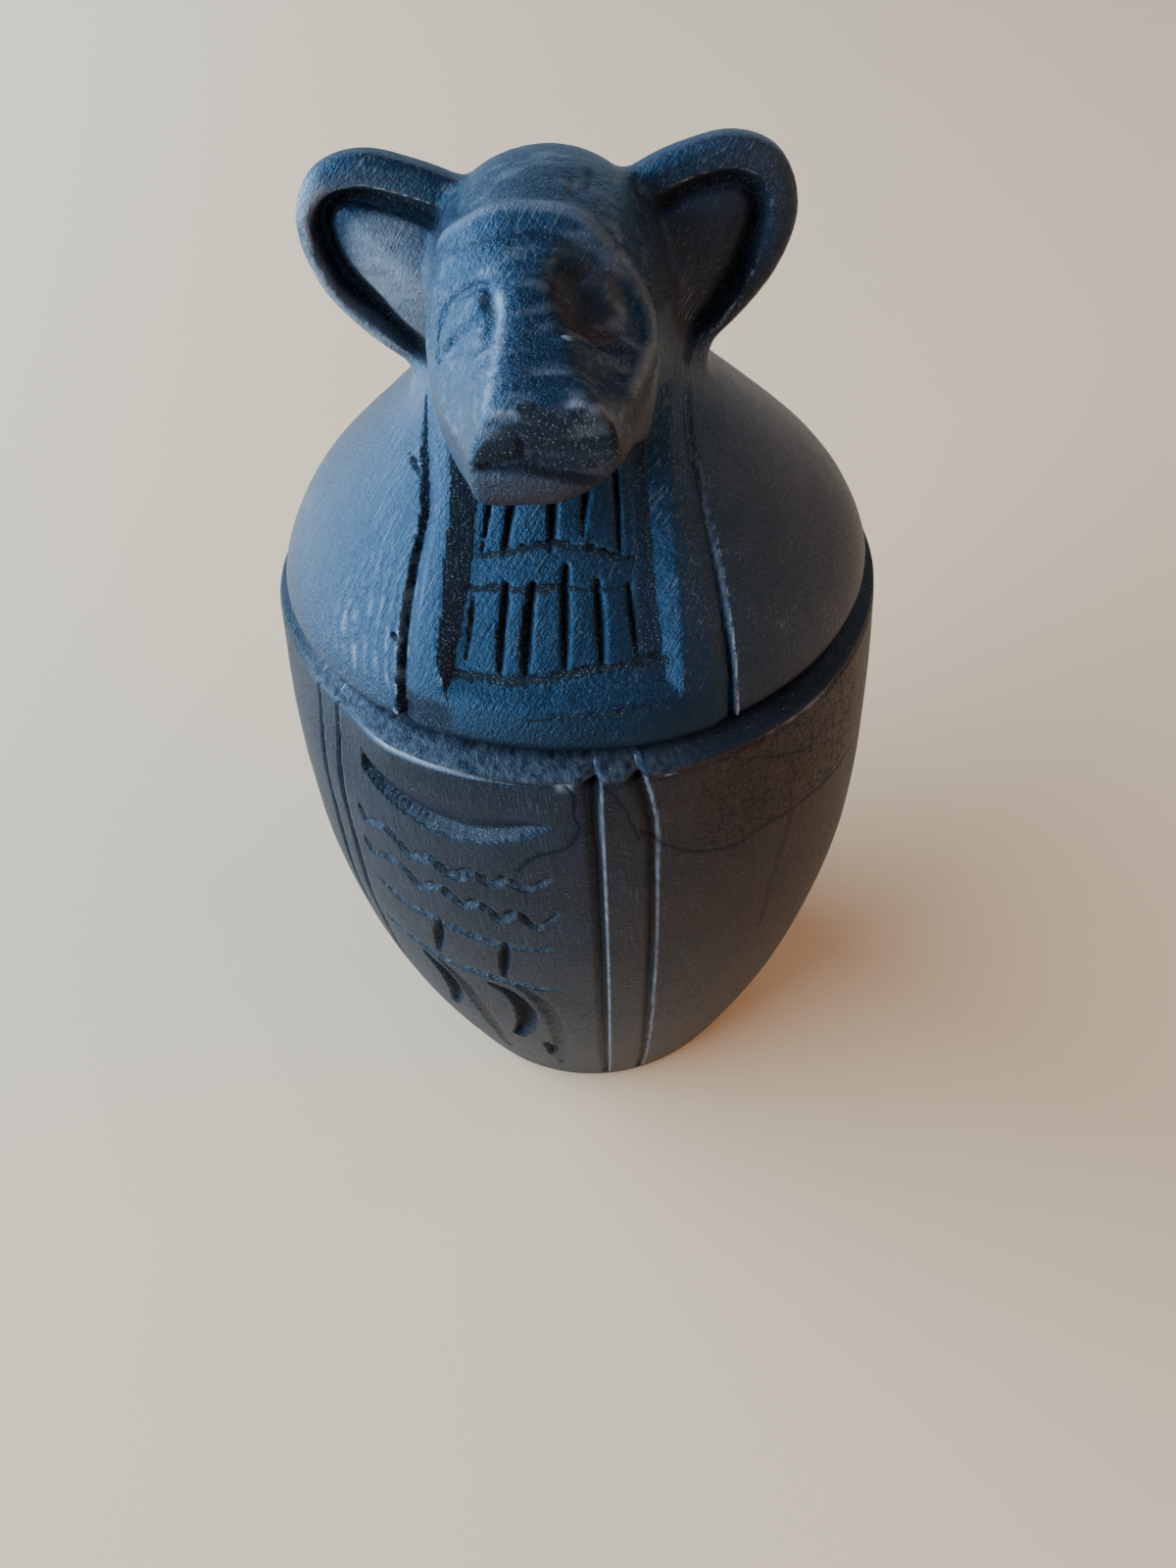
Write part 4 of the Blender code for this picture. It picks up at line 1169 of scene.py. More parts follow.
class Cells:
    """A lattice of cells, fine where the carving is, in which a surface is found."""

    SKIP = 3
    BATCH = 200000

    def __init__(self, lines: Sequence[Sequence[tuple[float, float, float]]]) -> None:
        """Lays out the lattice's lines: for each axis, runs of start, end and step."""
        self.axes = []
        for runs in lines:
            parts = [np.linspace(a, b, max(round((b - a) / s), 1), endpoint=False) for a, b, s in runs]
            self.axes.append(np.append(np.concatenate(parts), runs[-1][1]))

    @staticmethod
    def corners(shape: Sequence[int]) -> list[tuple[slice, ...]]:
        """For each of a cell's eight corners, the part of a lattice that holds it for every cell."""
        lows = [[corner >> axis & 1 for axis in range(3)] for corner in range(8)]
        return [tuple(slice(low, size - 1 + low) for low, size in zip(row, shape)) for row in lows]

    def field(self, distance: Callable[[Points], Values]) -> np.ndarray:
        """The distance at every lattice point, worked out in full only near the surface.

        Args:
            distance: the distance at points.

        Returns:
            An array over the lattice, rough but of the right sign away from the surface.
        """
        picks = [np.unique(np.append(np.arange(0, len(a), self.SKIP), len(a) - 1)) for a in self.axes]
        coarse_axes = [axis[pick] for axis, pick in zip(self.axes, picks)]
        coarse = distance(np.stack(np.meshgrid(*coarse_axes, indexing="ij"), -1).reshape(-1, 3))
        coarse = coarse.reshape([len(axis) for axis in coarse_axes])
        gaps = np.meshgrid(*(np.diff(axis) for axis in coarse_axes), indexing="ij")
        reach = 1.25 * np.sqrt(sum(gap**2 for gap in gaps))
        least = np.full(reach.shape, np.inf)
        for part in self.corners(coarse.shape):
            least = np.minimum(least, np.abs(coarse[part]))
        cell = [
            np.clip(np.searchsorted(pick, np.arange(len(axis)), side="right") - 1, 0, len(pick) - 2)
            for axis, pick in zip(self.axes, picks)
        ]
        close = (least < reach)[np.ix_(*cell)]
        values = coarse[np.ix_(*cell)].copy()
        spots = np.argwhere(close)
        points = np.stack([axis[spots[:, k]] for k, axis in enumerate(self.axes)], axis=1)
        for start in range(0, len(points), self.BATCH):
            part = slice(start, start + self.BATCH)
            values[tuple(spots[part].T)] = distance(points[part])
        return values

    def surface(self, values: np.ndarray) -> tuple[Points, np.ndarray]:
        """The surface where the distance is zero: one point in each cell that it crosses.

        Args:
            values: the distance at every lattice point.

        Returns:
            The points, each the mean of the crossings on its cell's edges, and quads that face out.
        """
        inside = values < 0
        tally = np.zeros([n - 1 for n in values.shape], int)
        for part in self.corners(values.shape):
            tally += inside[part]
        cells = np.argwhere((tally > 0) & (tally < 8))
        number = np.full(tally.shape, -1)
        number[tuple(cells.T)] = np.arange(len(cells))
        total, count = np.zeros((len(cells), 3)), np.zeros(len(cells))
        for axis in range(3):
            others = [k for k in range(3) if k != axis]
            for corner in range(4):
                start = cells.copy()
                start[:, others[0]] += corner & 1
                start[:, others[1]] += corner >> 1
                end = start.copy()
                end[:, axis] += 1
                a, b = values[tuple(start.T)], values[tuple(end.T)]
                crossed = (a < 0) != (b < 0)
                share = np.where(crossed, a / np.where(crossed, a - b, 1.0), 0.0)
                place = np.stack([self.axes[k][start[:, k]] for k in range(3)], axis=1)
                place[:, axis] += share * (self.axes[axis][end[:, axis]] - self.axes[axis][start[:, axis]])
                total += place * crossed[:, None]
                count += crossed
        return total / count[:, None], self.quads(inside, number)

    def quads(self, inside: np.ndarray, number: np.ndarray) -> np.ndarray:
        """One quad round each lattice edge that the surface crosses, turned to face out."""
        found = []
        for axis in range(3):
            lower = np.take(inside, range(inside.shape[axis] - 1), axis)
            upper = np.take(inside, range(1, inside.shape[axis]), axis)
            edges = np.argwhere(lower != upper)
            first, second = (k for k in ((axis + 1) % 3, (axis + 2) % 3))
            limits = np.array(number.shape)
            keep = (edges[:, first] > 0) & (edges[:, second] > 0)
            keep &= (edges[:, first] < limits[first]) & (edges[:, second] < limits[second])
            edges = edges[keep]
            ring = []
            for step_first, step_second in ((-1, -1), (0, -1), (0, 0), (-1, 0)):
                spot = edges.copy()
                spot[:, first] += step_first
                spot[:, second] += step_second
                ring.append(number[tuple(spot.T)])
            quad = np.stack(ring, axis=1)
            outward = lower[tuple(edges.T)]
            found.append(np.where(outward[:, None], quad, quad[:, ::-1]))
        return np.concatenate(found)


@dataclass
class Lid:
    """The lid, one stone from its plug to its ears: the dome and the head, joined by fillets."""

    dome: Dome
    head: Head
    fillet: float = 2.2
    unevenness: float = 0.07
    eye_hollow: tuple[float, float, float] = (2.9, -10.6, 10.9)
    ear_tip: tuple[float, float, float] = (-17.4, -1.0, 13.8)
    ear_bowl: tuple[float, float, float] = (-14.0, -2.0, 8.2)

    def distance(self, points: Points) -> Values:
        """The distance to the whole lid, with the unevenness of handwork on it."""
        dome = self.dome.distance(points)
        head = self.head.distance(points)
        joined = blend_min(dome, head, self.fillet)
        near = np.flatnonzero(np.abs(joined) < 1.5)
        lumps = 0.6 * NOISE.at(points[near], 5.0) + 0.25 * NOISE.at(points[near], 1.8)
        joined[near] += self.unevenness * (0.6 + lumps)
        return joined

    def cells(self) -> Cells:
        """The lattice round the lid: fine over the chest and the face, coarse behind."""
        return Cells((
            ((-27.0, -14.4, 0.54), (-14.4, 14.4, 0.256), (14.4, 27.0, 0.54)),
            ((-26.4, -5.5, 0.256), (-5.5, 5.0, 0.4), (5.0, 27.6, 0.9)),
            ((62.9, 66.9, 0.54), (66.9, 102.0, 0.275)),
        ))

    def build(self) -> bpy.types.Object:
        """Finds the surface, draws its points onto the true distance, and marks it."""
        cells = self.cells()
        points, quads = cells.surface(cells.field(self.distance))
        for _ in range(2):
            points = points - self.pull(points)
        marks = self.dome.carve(points)
        angle, rise = self.dome.skin.read(points)
        on_dome = ease(1.4, 0.7, np.abs(self.shell(points))) * (rise < 18.5) * (points[:, 1] < 0)
        marks.dust *= on_dome
        # Painted shade: brown over the lid's right side, away from the main light.
        marks.brown_and_shade = np.maximum(marks.brown_and_shade * on_dome, 0.6 * ease(6.0, 18.0, points[:, 0]))
        # Painted glints on the crests of the chatter ripples.
        chatter = ease(0.2, 0.9, self.dome.chatter(angle, rise)) * (0.5 + NOISE.at(points, 0.7))
        marks.add("scuff", np.clip(0.4 * chatter, 0.0, 1.0) * on_dome)
        own = self.head.own(points)
        for ear in self.head.ears:
            self.stain_ear(ear, own, marks)
        self.stain_face(points, own, marks)
        self.rub_and_highlight_head(own, marks)
        cut = np.maximum(marks.dust, marks.depth * on_dome)
        wear = worn_edges(points, quads, softness=2) * ease(0.3, 0.0, cut)
        shade = self.shade(points, marks) * on_dome
        return stone_mesh("carved_lid", points, quads, marks.attributes(wear, shade))

    def shade(self, points: Points, marks: Marks) -> Values:
        """Painted shade: darker on the bed of the chest panel and in deep cuts, on the slab below it and on a
        band by the left lappet.
        """
        angle, rise = self.dome.skin.read(points)
        azimuth = np.degrees(angle)
        slab = ease(-32.0, -27.0, azimuth) * ease(34.0, 31.0, azimuth) * ease(6.5, 3.0, rise)
        lappet = 0.4 * ease(-33.0, -29.0, azimuth) * ease(-18.0, -22.0, azimuth)
        return np.maximum(np.maximum(slab, lappet), 0.6 * ease(0.5, 1.0, marks.depth))

    def shell(self, points: Points) -> Values:
        """How far points stand off the dome's carved skin, along the radius."""
        angle, rise = self.dome.skin.read(points)
        radius = self.dome.skin.radius(rise) + self.dome.lift(angle, rise) - self.dome.carve(points).depth
        return np.hypot(points[:, 0], points[:, 1] - self.dome.skin.back) - radius

    def stain_ear(self, ear: Ear, own: Points, marks: Marks) -> None:
        """Puts dust in an ear's groove and brown in its bowl.

        Args:
            ear: the ear.
            own: the lid's points in the head's own frame.
            marks: the marks to raise.
        """
        lean = np.radians(ear.lean)
        ahead = -own[:, 1]
        front = (ear.back + ahead) * np.cos(lean) + own[:, 2] * np.sin(lean)
        flat = np.stack([own[:, 0] * ear.side, own[:, 2]], axis=1)
        near = np.flatnonzero((flat[:, 0] > 6.0) & (flat[:, 1] > -1.0) & (front > -0.4) & (ahead < 4.0))
        flat = flat[near]
        deep = -ear.inside(flat)
        gap = np.abs(deep - ear.rim(flat) - ear.groove_width)
        marks.add("dust", 0.6 * ease(0.9, 0.3, gap) * ease(6.5, 9.0, flat[:, 0]), near)
        low = ease(9.0, 3.0, flat[:, 1]) if ear.side < 0 else 0.8
        marks.add("brown_and_shade", 0.7 * low * ease(0.5, 4.0, deep) * ease(7.0, 10.0, flat[:, 0]), near)

    def stain_face(self, points: Points, own: Points, marks: Marks) -> None:
        """Darkens the nose, browns the mouth, and paints shade, brown and near black, into the hollow of the
        right eye.

        Args:
            points: the lid's points.
            own: the same in the head's own frame.
            marks: the marks to raise.
        """
        ahead, across, up = -own[:, 1], own[:, 0] - self.head.shift, own[:, 2]
        ragged = 0.6 * NOISE.at(points, 1.1)
        nose = ease(19.9, 20.5, ahead + ragged) * ease(5.2, 4.4, np.abs(across)) * ease(4.6, 5.6, up)
        mouth = 0.9 * ease(14.5, 20.5, ahead + 0.8 * across) * ease(7.4, 6.4, up) * ease(0.2, 1.2, up)
        marks.add("dust", np.maximum(0.85 * nose, 0.4 * mouth))
        marks.add("brown_and_shade", np.maximum(nose, mouth))
        # Painted shade in the deep hollow of the right eye.
        away = np.linalg.norm(own - self.eye_hollow, axis=1)
        marks.add("brown_and_shade", 0.9 * ease(3.2, 2.4, away))
        marks.add("line", 0.6 * ease(2.0, 1.0, away))

    def rub_and_highlight_head(self, own: Points, marks: Marks) -> None:
        """Paints highlights along the snout's ridge, on the brow's band and on the left ear's tip and bowl,
        with pale streaks over the face and pale flecks along the nose's top.

        Args:
            own: the lid's points in the head's own frame.
            marks: the marks to raise.
        """
        ahead, across = -own[:, 1], own[:, 0] - self.head.shift
        fleck = 0.5 + 0.5 * NOISE.at(own * (0.35, 1.0, 1.0), 0.5)
        # Painted highlight along the left edge of the snout's ridge.
        ridge_line = ((-3.6, 11.6, 12.1), (-3.8, 14.5, 11.3), (-4.4, 18.0, 10.0), (-4.9, 20.0, 9.2))
        ridge = Crease(ridge_line, depth=1.0, width=0.55)
        marks.add("scuff", ridge.sink(own) * ease(0.1, 0.7, fleck))
        streak = ease(0.1, 0.9, NOISE.at(own * (0.22, 1.0, 1.0), 0.5))
        on_face = ease(-5.0, -1.0, ahead) * ease(3.0, 7.0, own[:, 2]) * ease(8.6, 6.4, np.abs(across))
        marks.add("scuff", 0.2 * streak * on_face)
        top = Crease(((-4.6, 20.1, 9.4), (-1.5, 20.3, 9.6), (2.0, 20.2, 9.4), (4.0, 19.6, 9.0)), 1.0, 0.7)
        marks.add("scuff", 0.6 * top.sink(own) * ease(0.35, 0.75, fleck))
        # Painted highlight along the raised brow band.
        band = self.head.brow_band()
        raised = band.sink(own) / band.depth
        marks.add("scuff", 0.42 * ease(0.3, 1.0, raised) * (0.55 + 0.45 * fleck))
        # Painted highlights on the left ear's tip and in its bowl, which face the light.
        tip = ease(3.4, 1.2, np.linalg.norm(own - self.ear_tip, axis=1))
        marks.add("scuff", 0.8 * tip)
        bowl = ease(7.5, 2.0, np.linalg.norm((own - self.ear_bowl) * (1.0, 1.0, 0.62), axis=1))
        bowl = bowl * ease(-1.1, -0.5, ahead) * (1.0 - marks.dust)
        marks.add("scuff", 0.72 * bowl * (0.5 + 0.6 * fleck))

    def pull(self, points: Points) -> Points:
        """The step that takes points onto the surface: the distance times its gradient, over its square."""
        step = 0.04
        here = self.distance(points)
        slope = np.stack(
            [(self.distance(points + step * np.eye(3)[k]) - here) / step for k in range(3)], axis=1
        )
        move = here[:, None] * slope / np.maximum((slope**2).sum(1, keepdims=True), 0.2)
        length = np.linalg.norm(move, axis=1, keepdims=True)
        return move * np.minimum(1.0, 0.14 / np.maximum(length, 1e-9))


class Graph:
    """Adds nodes to a tree and joins them, so that a material reads from top to bottom."""

    def __init__(self, tree: bpy.types.NodeTree) -> None:
        """Keeps the tree."""
        self.tree = tree

    def add(self, kind: str, inputs: dict | None = None, **settings: object) -> bpy.types.Node:
        """Adds a node.

        Args:
            kind: the node's type, without the word ShaderNode.
            inputs: a socket to join or a plain value, for each input's name or number.
            settings: the node's own properties.

        Returns:
            The node.
        """
        node = self.tree.nodes.new(f"ShaderNode{kind}")
        for name, value in settings.items():
            setattr(node, name, value)
        for name, value in (inputs or {}).items():
            if isinstance(value, bpy.types.NodeSocket):
                self.tree.links.new(value, node.inputs[name])
            else:
                node.inputs[name].default_value = value
        return node

    def sum(self, kind: str, first: object, second: object = 0.0) -> bpy.types.NodeSocket:
        """One step of arithmetic, clamped to 0 and 1."""
        return self.add("Math", {0: first, 1: second}, operation=kind, use_clamp=True).outputs[0]

    def times(self, first: object, second: object) -> bpy.types.NodeSocket:
        """The product of two values, clamped to 0 and 1."""
        return self.sum("MULTIPLY", first, second)

    def over(self, size: object) -> bpy.types.NodeSocket:
        """One over a size, which is the scale of a texture with cells of that size."""
        return self.add("Math", {0: 1.0, 1: size}, operation="DIVIDE").outputs[0]

    def noise(self, place: object, scale: object, detail: float, roughness: float) -> bpy.types.NodeSocket:
        """Noise between 0 and 1 at a place."""
        inputs = {"Vector": place, "Scale": scale, "Detail": detail, "Roughness": roughness}
        return self.add("TexNoise", inputs).outputs["Fac"]

    def rise(self, value: object, low: float, high: float) -> bpy.types.NodeSocket:
        """A smooth rise from 0 at low to 1 at high."""
        inputs = {"Value": value, "From Min": low, "From Max": high}
        return self.add("MapRange", inputs, interpolation_type="SMOOTHSTEP").outputs["Result"]

    def mix(self, share: object, first: object, second: object) -> bpy.types.NodeSocket:
        """A colour between two colours."""
        return self.add("Mix", {0: share, 6: first, 7: second}, data_type="RGBA").outputs[2]

    def level(self, share: object, first: object, second: object) -> bpy.types.NodeSocket:
        """A number between two numbers."""
        return self.add("Mix", {0: share, 2: first, 3: second}, data_type="FLOAT").outputs[0]

    def mark(self, name: str) -> bpy.types.NodeSocket:
        """The value of one of the mesh's marks."""
        return self.add("Attribute", attribute_name=name).outputs["Fac"]

    def group(self, tree: bpy.types.NodeTree, inputs: dict) -> bpy.types.NodeOutputs:
        """Adds a shared group with its inputs, and gives its outputs."""
        return self.add("Group", inputs, node_tree=tree).outputs


def colour(red: float, green: float, blue: float) -> Colour:
    """An opaque colour."""
    return (red, green, blue, 1.0)


# Near black for cracks, also painted as shade in the right eye's hollow.
CRACK_AND_SHADE_COLOUR = colour(0.004, 0.003, 0.003)


class Effects:
    """The shared node groups: grain, sanding scratches, dust in cuts, rubbed edges and crazing."""

    def __init__(self) -> None:
        """Builds each group once."""
        self.grain = self.make_grain()
        self.scratches = self.make_scratches()
        self.dust = self.make_dust()
        self.rubbed = self.make_rubbed()
        self.crazing = self.make_crazing()

    def group(self, name: str, inputs: dict[str, str], outputs: dict[str, str]) -> tuple:
        """An empty group with its sockets.

        Args:
            name: the group's name.
            inputs: the kind of each input.
            outputs: the kind of each output.

        Returns:
            The tree, a graph on it, the sockets that give its inputs and those that take its outputs.
        """
        tree = bpy.data.node_groups.new(name, "ShaderNodeTree")
        for label, kind in inputs.items():
            tree.interface.new_socket(label, in_out="INPUT", socket_type=f"NodeSocket{kind}")
        for label, kind in outputs.items():
            tree.interface.new_socket(label, in_out="OUTPUT", socket_type=f"NodeSocket{kind}")
        given, result = tree.nodes.new("NodeGroupInput"), tree.nodes.new("NodeGroupOutput")
        return tree, Graph(tree), given.outputs, result.inputs

    def make_grain(self) -> bpy.types.NodeTree:
        """Cloudy mottling, fine grain and pale mineral specks, at places in millimetres."""
        inputs = {"Place": "Vector", "Cloud Size": "Float"}
        outputs = {"Cloud": "Float", "Grain": "Float", "Speck": "Float"}
        tree, graph, given, result = self.group("stone grain", inputs, outputs)
        cloud = graph.noise(given["Place"], graph.over(given["Cloud Size"]), 4.0, 0.6)
        grain = graph.noise(given["Place"], 2.8, 3.0, 0.75)
        cells = graph.add("TexVoronoi", {"Vector": given["Place"], "Scale": 3.4, "Randomness": 1.0}).outputs
        speck = graph.times(graph.rise(cells["Distance"], 0.26, 0.1), graph.rise(cells["Color"], 0.82, 0.92))
        tree.links.new(graph.rise(cloud, 0.32, 0.68), result["Cloud"])
        tree.links.new(grain, result["Grain"])
        tree.links.new(speck, result["Speck"])
        return tree

    def make_scratches(self) -> bpy.types.NodeTree:
        """Fine parallel scratches along the place's own Z, which the material turns as it needs."""
        inputs = {"Place": "Vector", "Length": "Float"}
        outputs = {"Height": "Float", "Bright": "Float"}
        tree, graph, given, result = self.group("sanding scratches", inputs, outputs)
        along = graph.add("CombineXYZ", {"X": 3.6, "Y": 3.6, "Z": graph.over(given["Length"])}).outputs[0]
        place = graph.add("VectorMath", {0: given["Place"], 1: along}, operation="MULTIPLY").outputs[0]
        lines = graph.noise(place, 1.0, 3.0, 0.7)
        fine = graph.noise(place, 1.9, 1.0, 0.5)
        tree.links.new(graph.sum("ADD", graph.times(lines, 0.6), graph.times(fine, 0.4)), result["Height"])
        tree.links.new(graph.rise(fine, 0.56, 0.72), result["Bright"])
        return tree

    def make_dust(self) -> bpy.types.NodeTree:
        """The gritty floor of a cut: how far it covers the stone, its pale crumbs and its height."""
        inputs = {"Place": "Vector", "Dust": "Float"}
        outputs = {"Cover": "Float", "Crumb": "Float", "Height": "Float"}
        tree, graph, given, result = self.group("dust in cuts", inputs, outputs)
        rough = graph.noise(given["Place"], 3.4, 4.0, 0.75)
        cells = graph.add("TexVoronoi", {"Vector": given["Place"], "Scale": 5.0, "Randomness": 1.0}).outputs
        cover = graph.rise(graph.times(given["Dust"], graph.level(rough, 0.5, 1.5)), 0.2, 0.75)
        crumb = graph.times(graph.rise(cells["Color"], 0.40, 0.75), graph.rise(cells["Distance"], 0.50, 0.15))
        height = graph.sum("ADD", rough, graph.times(crumb, 0.5))
        tree.links.new(cover, result["Cover"])
        tree.links.new(graph.times(crumb, cover), result["Crumb"])
        tree.links.new(graph.times(height, cover), result["Height"])
        return tree

    def make_rubbed(self) -> bpy.types.NodeTree:
        """Rubbed edges: the mesh's own wear, broken up by the grain."""
        inputs = {"Wear": "Float", "Grain": "Float", "Amount": "Float"}
        tree, graph, given, result = self.group("rubbed edges", inputs, {"Mask": "Float"})
        broken = graph.times(given["Wear"], graph.level(given["Grain"], 0.35, 1.6))
        tree.links.new(graph.times(graph.rise(broken, 0.25, 0.85), given["Amount"]), result["Mask"])
        return tree

    def make_crazing(self) -> bpy.types.NodeTree:
        """A web of hairline cracks, as between the cells of dried varnish."""
        inputs = {"Place": "Vector", "Cell": "Float"}
        tree, graph, given, result = self.group("crazing", inputs, {"Line": "Float"})
        bend = graph.add("TexNoise", {"Vector": given["Place"], "Scale": 1.4, "Detail": 2.0}).outputs["Color"]
        moved = graph.add("VectorMath", {0: given["Place"], 1: bend}, operation="ADD").outputs[0]
        size = graph.over(given["Cell"])
        cells = graph.add("TexVoronoi", {"Vector": moved, "Scale": size}, feature="DISTANCE_TO_EDGE")
        tree.links.new(graph.rise(cells.outputs["Distance"], 0.07, 0.015), result["Line"])
        return tree


class Sanding(Enum):
    """The way the last sanding ran: the turn in degrees that lays a piece's scratches along Z."""

    UPRIGHT = (4.0, 3.0, 0.0)
    SLANTED = (38.0, -32.0, 10.0)


@dataclass(frozen=True)
class StoneFinish:
    """Dyed stone rubbed to a satin.

    The dark tone and cloud are its two tones, and the dark tone is also painted as shade. The brown tone
    shows stains where the colouring is thin and painted shade on the side away from the light, dust and
    crumb fill the cuts, and rubbed is the bare stone, also painted as scuffs and highlights. polish tints
    the shine, gloss is its refractive index, and scratch, rub and crazing say how much of each effect shows.
    """

    name: str
    dye_and_shade: Colour
    cloud: Colour
    brown_and_shade: Colour
    dust: Colour
    crumb: Colour
    rubbed: Colour
    polish: Colour
    sanding: Sanding
    scratch: float
    gloss: float
    roughness: float
    rub: float
    crazing: float

    def material(self, effects: Effects) -> bpy.types.Material:
        """Builds the material from the shared effects.

        Args:
            effects: the shared node groups.

        Returns:
            The material.
        """
        made = bpy.data.materials.new(self.name)
        made.use_nodes = True
        graph = Graph(made.node_tree)
        shader = made.node_tree.nodes["Principled BSDF"]
        shader.inputs["Specular Tint"].default_value = self.polish
        shader.inputs["IOR"].default_value = self.gloss
        where = graph.add("TexCoord").outputs["Object"]
        scale, turn = (1 / MM,) * 3, tuple(np.radians(self.sanding.value))
        place = graph.add("Mapping", {"Vector": where, "Scale": scale}).outputs[0]
        turned = graph.add("Mapping", {"Vector": where, "Scale": scale, "Rotation": turn}).outputs[0]
        grain = graph.group(effects.grain, {"Place": place, "Cloud Size": 7.0})
        scratches = graph.group(effects.scratches, {"Place": turned, "Length": 6.0})
        dust = graph.group(effects.dust, {"Place": place, "Dust": graph.mark("dust")})
        wear = {"Wear": graph.mark("wear"), "Grain": grain["Grain"], "Amount": self.rub}
        rubbed = graph.group(effects.rubbed, wear)
        web = graph.group(effects.crazing, {"Place": place, "Cell": 1.0})
        brown_and_shade = graph.mark("brown_and_shade")
        crazed = graph.times(web["Line"], graph.times(graph.rise(brown_and_shade, 0.75, 0.95), self.crazing))
        lines = graph.sum("MAXIMUM", graph.mark("line"), crazed)

        fleck = graph.rise(grain["Grain"], 0.42, 0.66)
        bright = graph.level(grain["Cloud"], 0.2 * self.scratch, self.scratch)
        tone = graph.mix(graph.level(fleck, graph.times(grain["Cloud"], 0.6), 1.0), self.dye_and_shade, self.cloud)
        for share, paint in (
            # Brown stains, and painted shade on the sides away from the light and in the right eye's hollow.
            (graph.times(brown_and_shade, graph.level(grain["Cloud"], 0.6, 1.0)), self.brown_and_shade),
            (graph.times(scratches["Bright"], bright), self.rubbed),
            # Painted shade: the darkest tone laid where the shade mark is.
            (graph.times(graph.mark("shade"), 0.9), self.dye_and_shade),
            (graph.times(grain["Speck"], 0.5), self.crumb),
            (dust["Cover"], self.dust),
            (graph.times(dust["Crumb"], 0.6), self.crumb),
            # Scuffs and painted highlights, in the bare stone's pale tone.
            (graph.sum("MAXIMUM", rubbed["Mask"], graph.times(graph.mark("scuff"), 0.85)), self.rubbed),
            # Cracks, and painted shade in the right eye's hollow.
            (graph.times(lines, 0.85), CRACK_AND_SHADE_COLOUR),
        ):
            tone = graph.mix(share, tone, paint)
        made.node_tree.links.new(tone, shader.inputs["Base Color"])

        sheen = graph.level(grain["Cloud"], self.roughness, self.roughness + 0.07)
        for share, roughness in (
            (graph.rise(scratches["Height"], 0.42, 0.62), self.roughness + 0.2),
            (graph.rise(grain["Grain"], 0.6, 0.4), self.roughness + 0.12),
            (dust["Cover"], 0.88),
            (lines, 0.8),
        ):
            sheen = graph.level(share, sheen, roughness)
        made.node_tree.links.new(sheen, shader.inputs["Roughness"])

        parts = {0: graph.times(scratches["Height"], 0.55), 1: graph.times(grain["Grain"], 0.6)}
        height = graph.add("Math", parts, operation="ADD").outputs[0]
        fine = graph.add("Bump", {"Height": height, "Strength": 1.0, "Distance": 0.00026})
        grit = graph.add("Bump", {"Height": dust["Height"], "Strength": 1.0, "Distance": 0.00034,
                                  "Normal": fine.outputs[0]})
        crack = graph.add("Bump", {"Height": lines, "Strength": 0.7, "Distance": 0.00008,
                                   "Normal": grit.outputs[0]}, invert=True)
        made.node_tree.links.new(crack.outputs[0], shader.inputs["Normal"])
        return made


JAR_FINISH = StoneFinish(
    name="jar stone",
    dye_and_shade=colour(0.004, 0.006, 0.011),
    cloud=colour(0.014, 0.018, 0.027),
    brown_and_shade=colour(0.040, 0.020, 0.012),
    dust=colour(0.060, 0.066, 0.078),
    crumb=colour(0.42, 0.44, 0.48),
    rubbed=colour(0.30, 0.32, 0.37),
    polish=colour(0.46, 0.68, 1.0),
    sanding=Sanding.UPRIGHT,
    scratch=0.10,
    gloss=1.30,
    roughness=0.34,
    rub=0.8,
    crazing=0.6,
)
LID_FINISH = StoneFinish(
    name="lid stone",
    dye_and_shade=colour(0.002, 0.006, 0.015),
    cloud=colour(0.008, 0.019, 0.040),
    brown_and_shade=colour(0.046, 0.021, 0.013),
    dust=colour(0.014, 0.010, 0.009),
    crumb=colour(0.32, 0.33, 0.37),
    rubbed=colour(0.36, 0.36, 0.40),
    polish=colour(0.30, 0.64, 1.0),
    sanding=Sanding.SLANTED,
    scratch=0.24,
    gloss=1.5,
    roughness=0.29,
    rub=0.7,
    crazing=0.0,
)


def dressed(piece: bpy.types.Object, node: str, material: bpy.types.Material) -> None:
    """Gives a piece its stone, and lets it stand for its CAD node.

    Args:
        piece: the new piece.
        node: the CAD node that it replaces.
        material: its finish.
    """
    piece.data.materials.append(material)
    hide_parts(node)
    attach(piece, "root")
    log.info("%s: %d faces", piece.name, len(piece.data.polygons))


def stand(thing: bpy.types.Object, place: Points, axes: Sequence[np.ndarray]) -> None:
    """Puts a light or a camera in the scene.

    Args:
        thing: the light or the camera.
        place: where it stands, in metres.
        axes: the way its X, Y and Z run. It looks along the last one backwards.
    """
    rows = np.column_stack([*axes, place])
    thing.matrix_world = Matrix([*rows.tolist(), (0.0, 0.0, 0.0, 1.0)])
    bpy.context.scene.collection.objects.link(thing)


@dataclass(frozen=True)
class Softbox:
    """One soft studio light."""

    name: str
    place: tuple[float, float, float]
    aim: tuple[float, float, float]
    size: tuple[float, float]
    power: float
    tint: tuple[float, float, float]

    def build(self) -> None:
        """Hangs the light and turns it towards its aim."""
        data = bpy.data.lights.new(self.name, "AREA")
        data.shape = "RECTANGLE"
        data.size, data.size_y = self.size
        data.energy = self.power
        data.color = self.tint
        away = np.subtract(self.place, self.aim)
        away /= np.linalg.norm(away)
        right = np.cross((0.0, 0.0, 1.0), away)
        right /= np.linalg.norm(right)
        stand(bpy.data.objects.new(self.name, data), self.place, (right, np.cross(away, right), away))


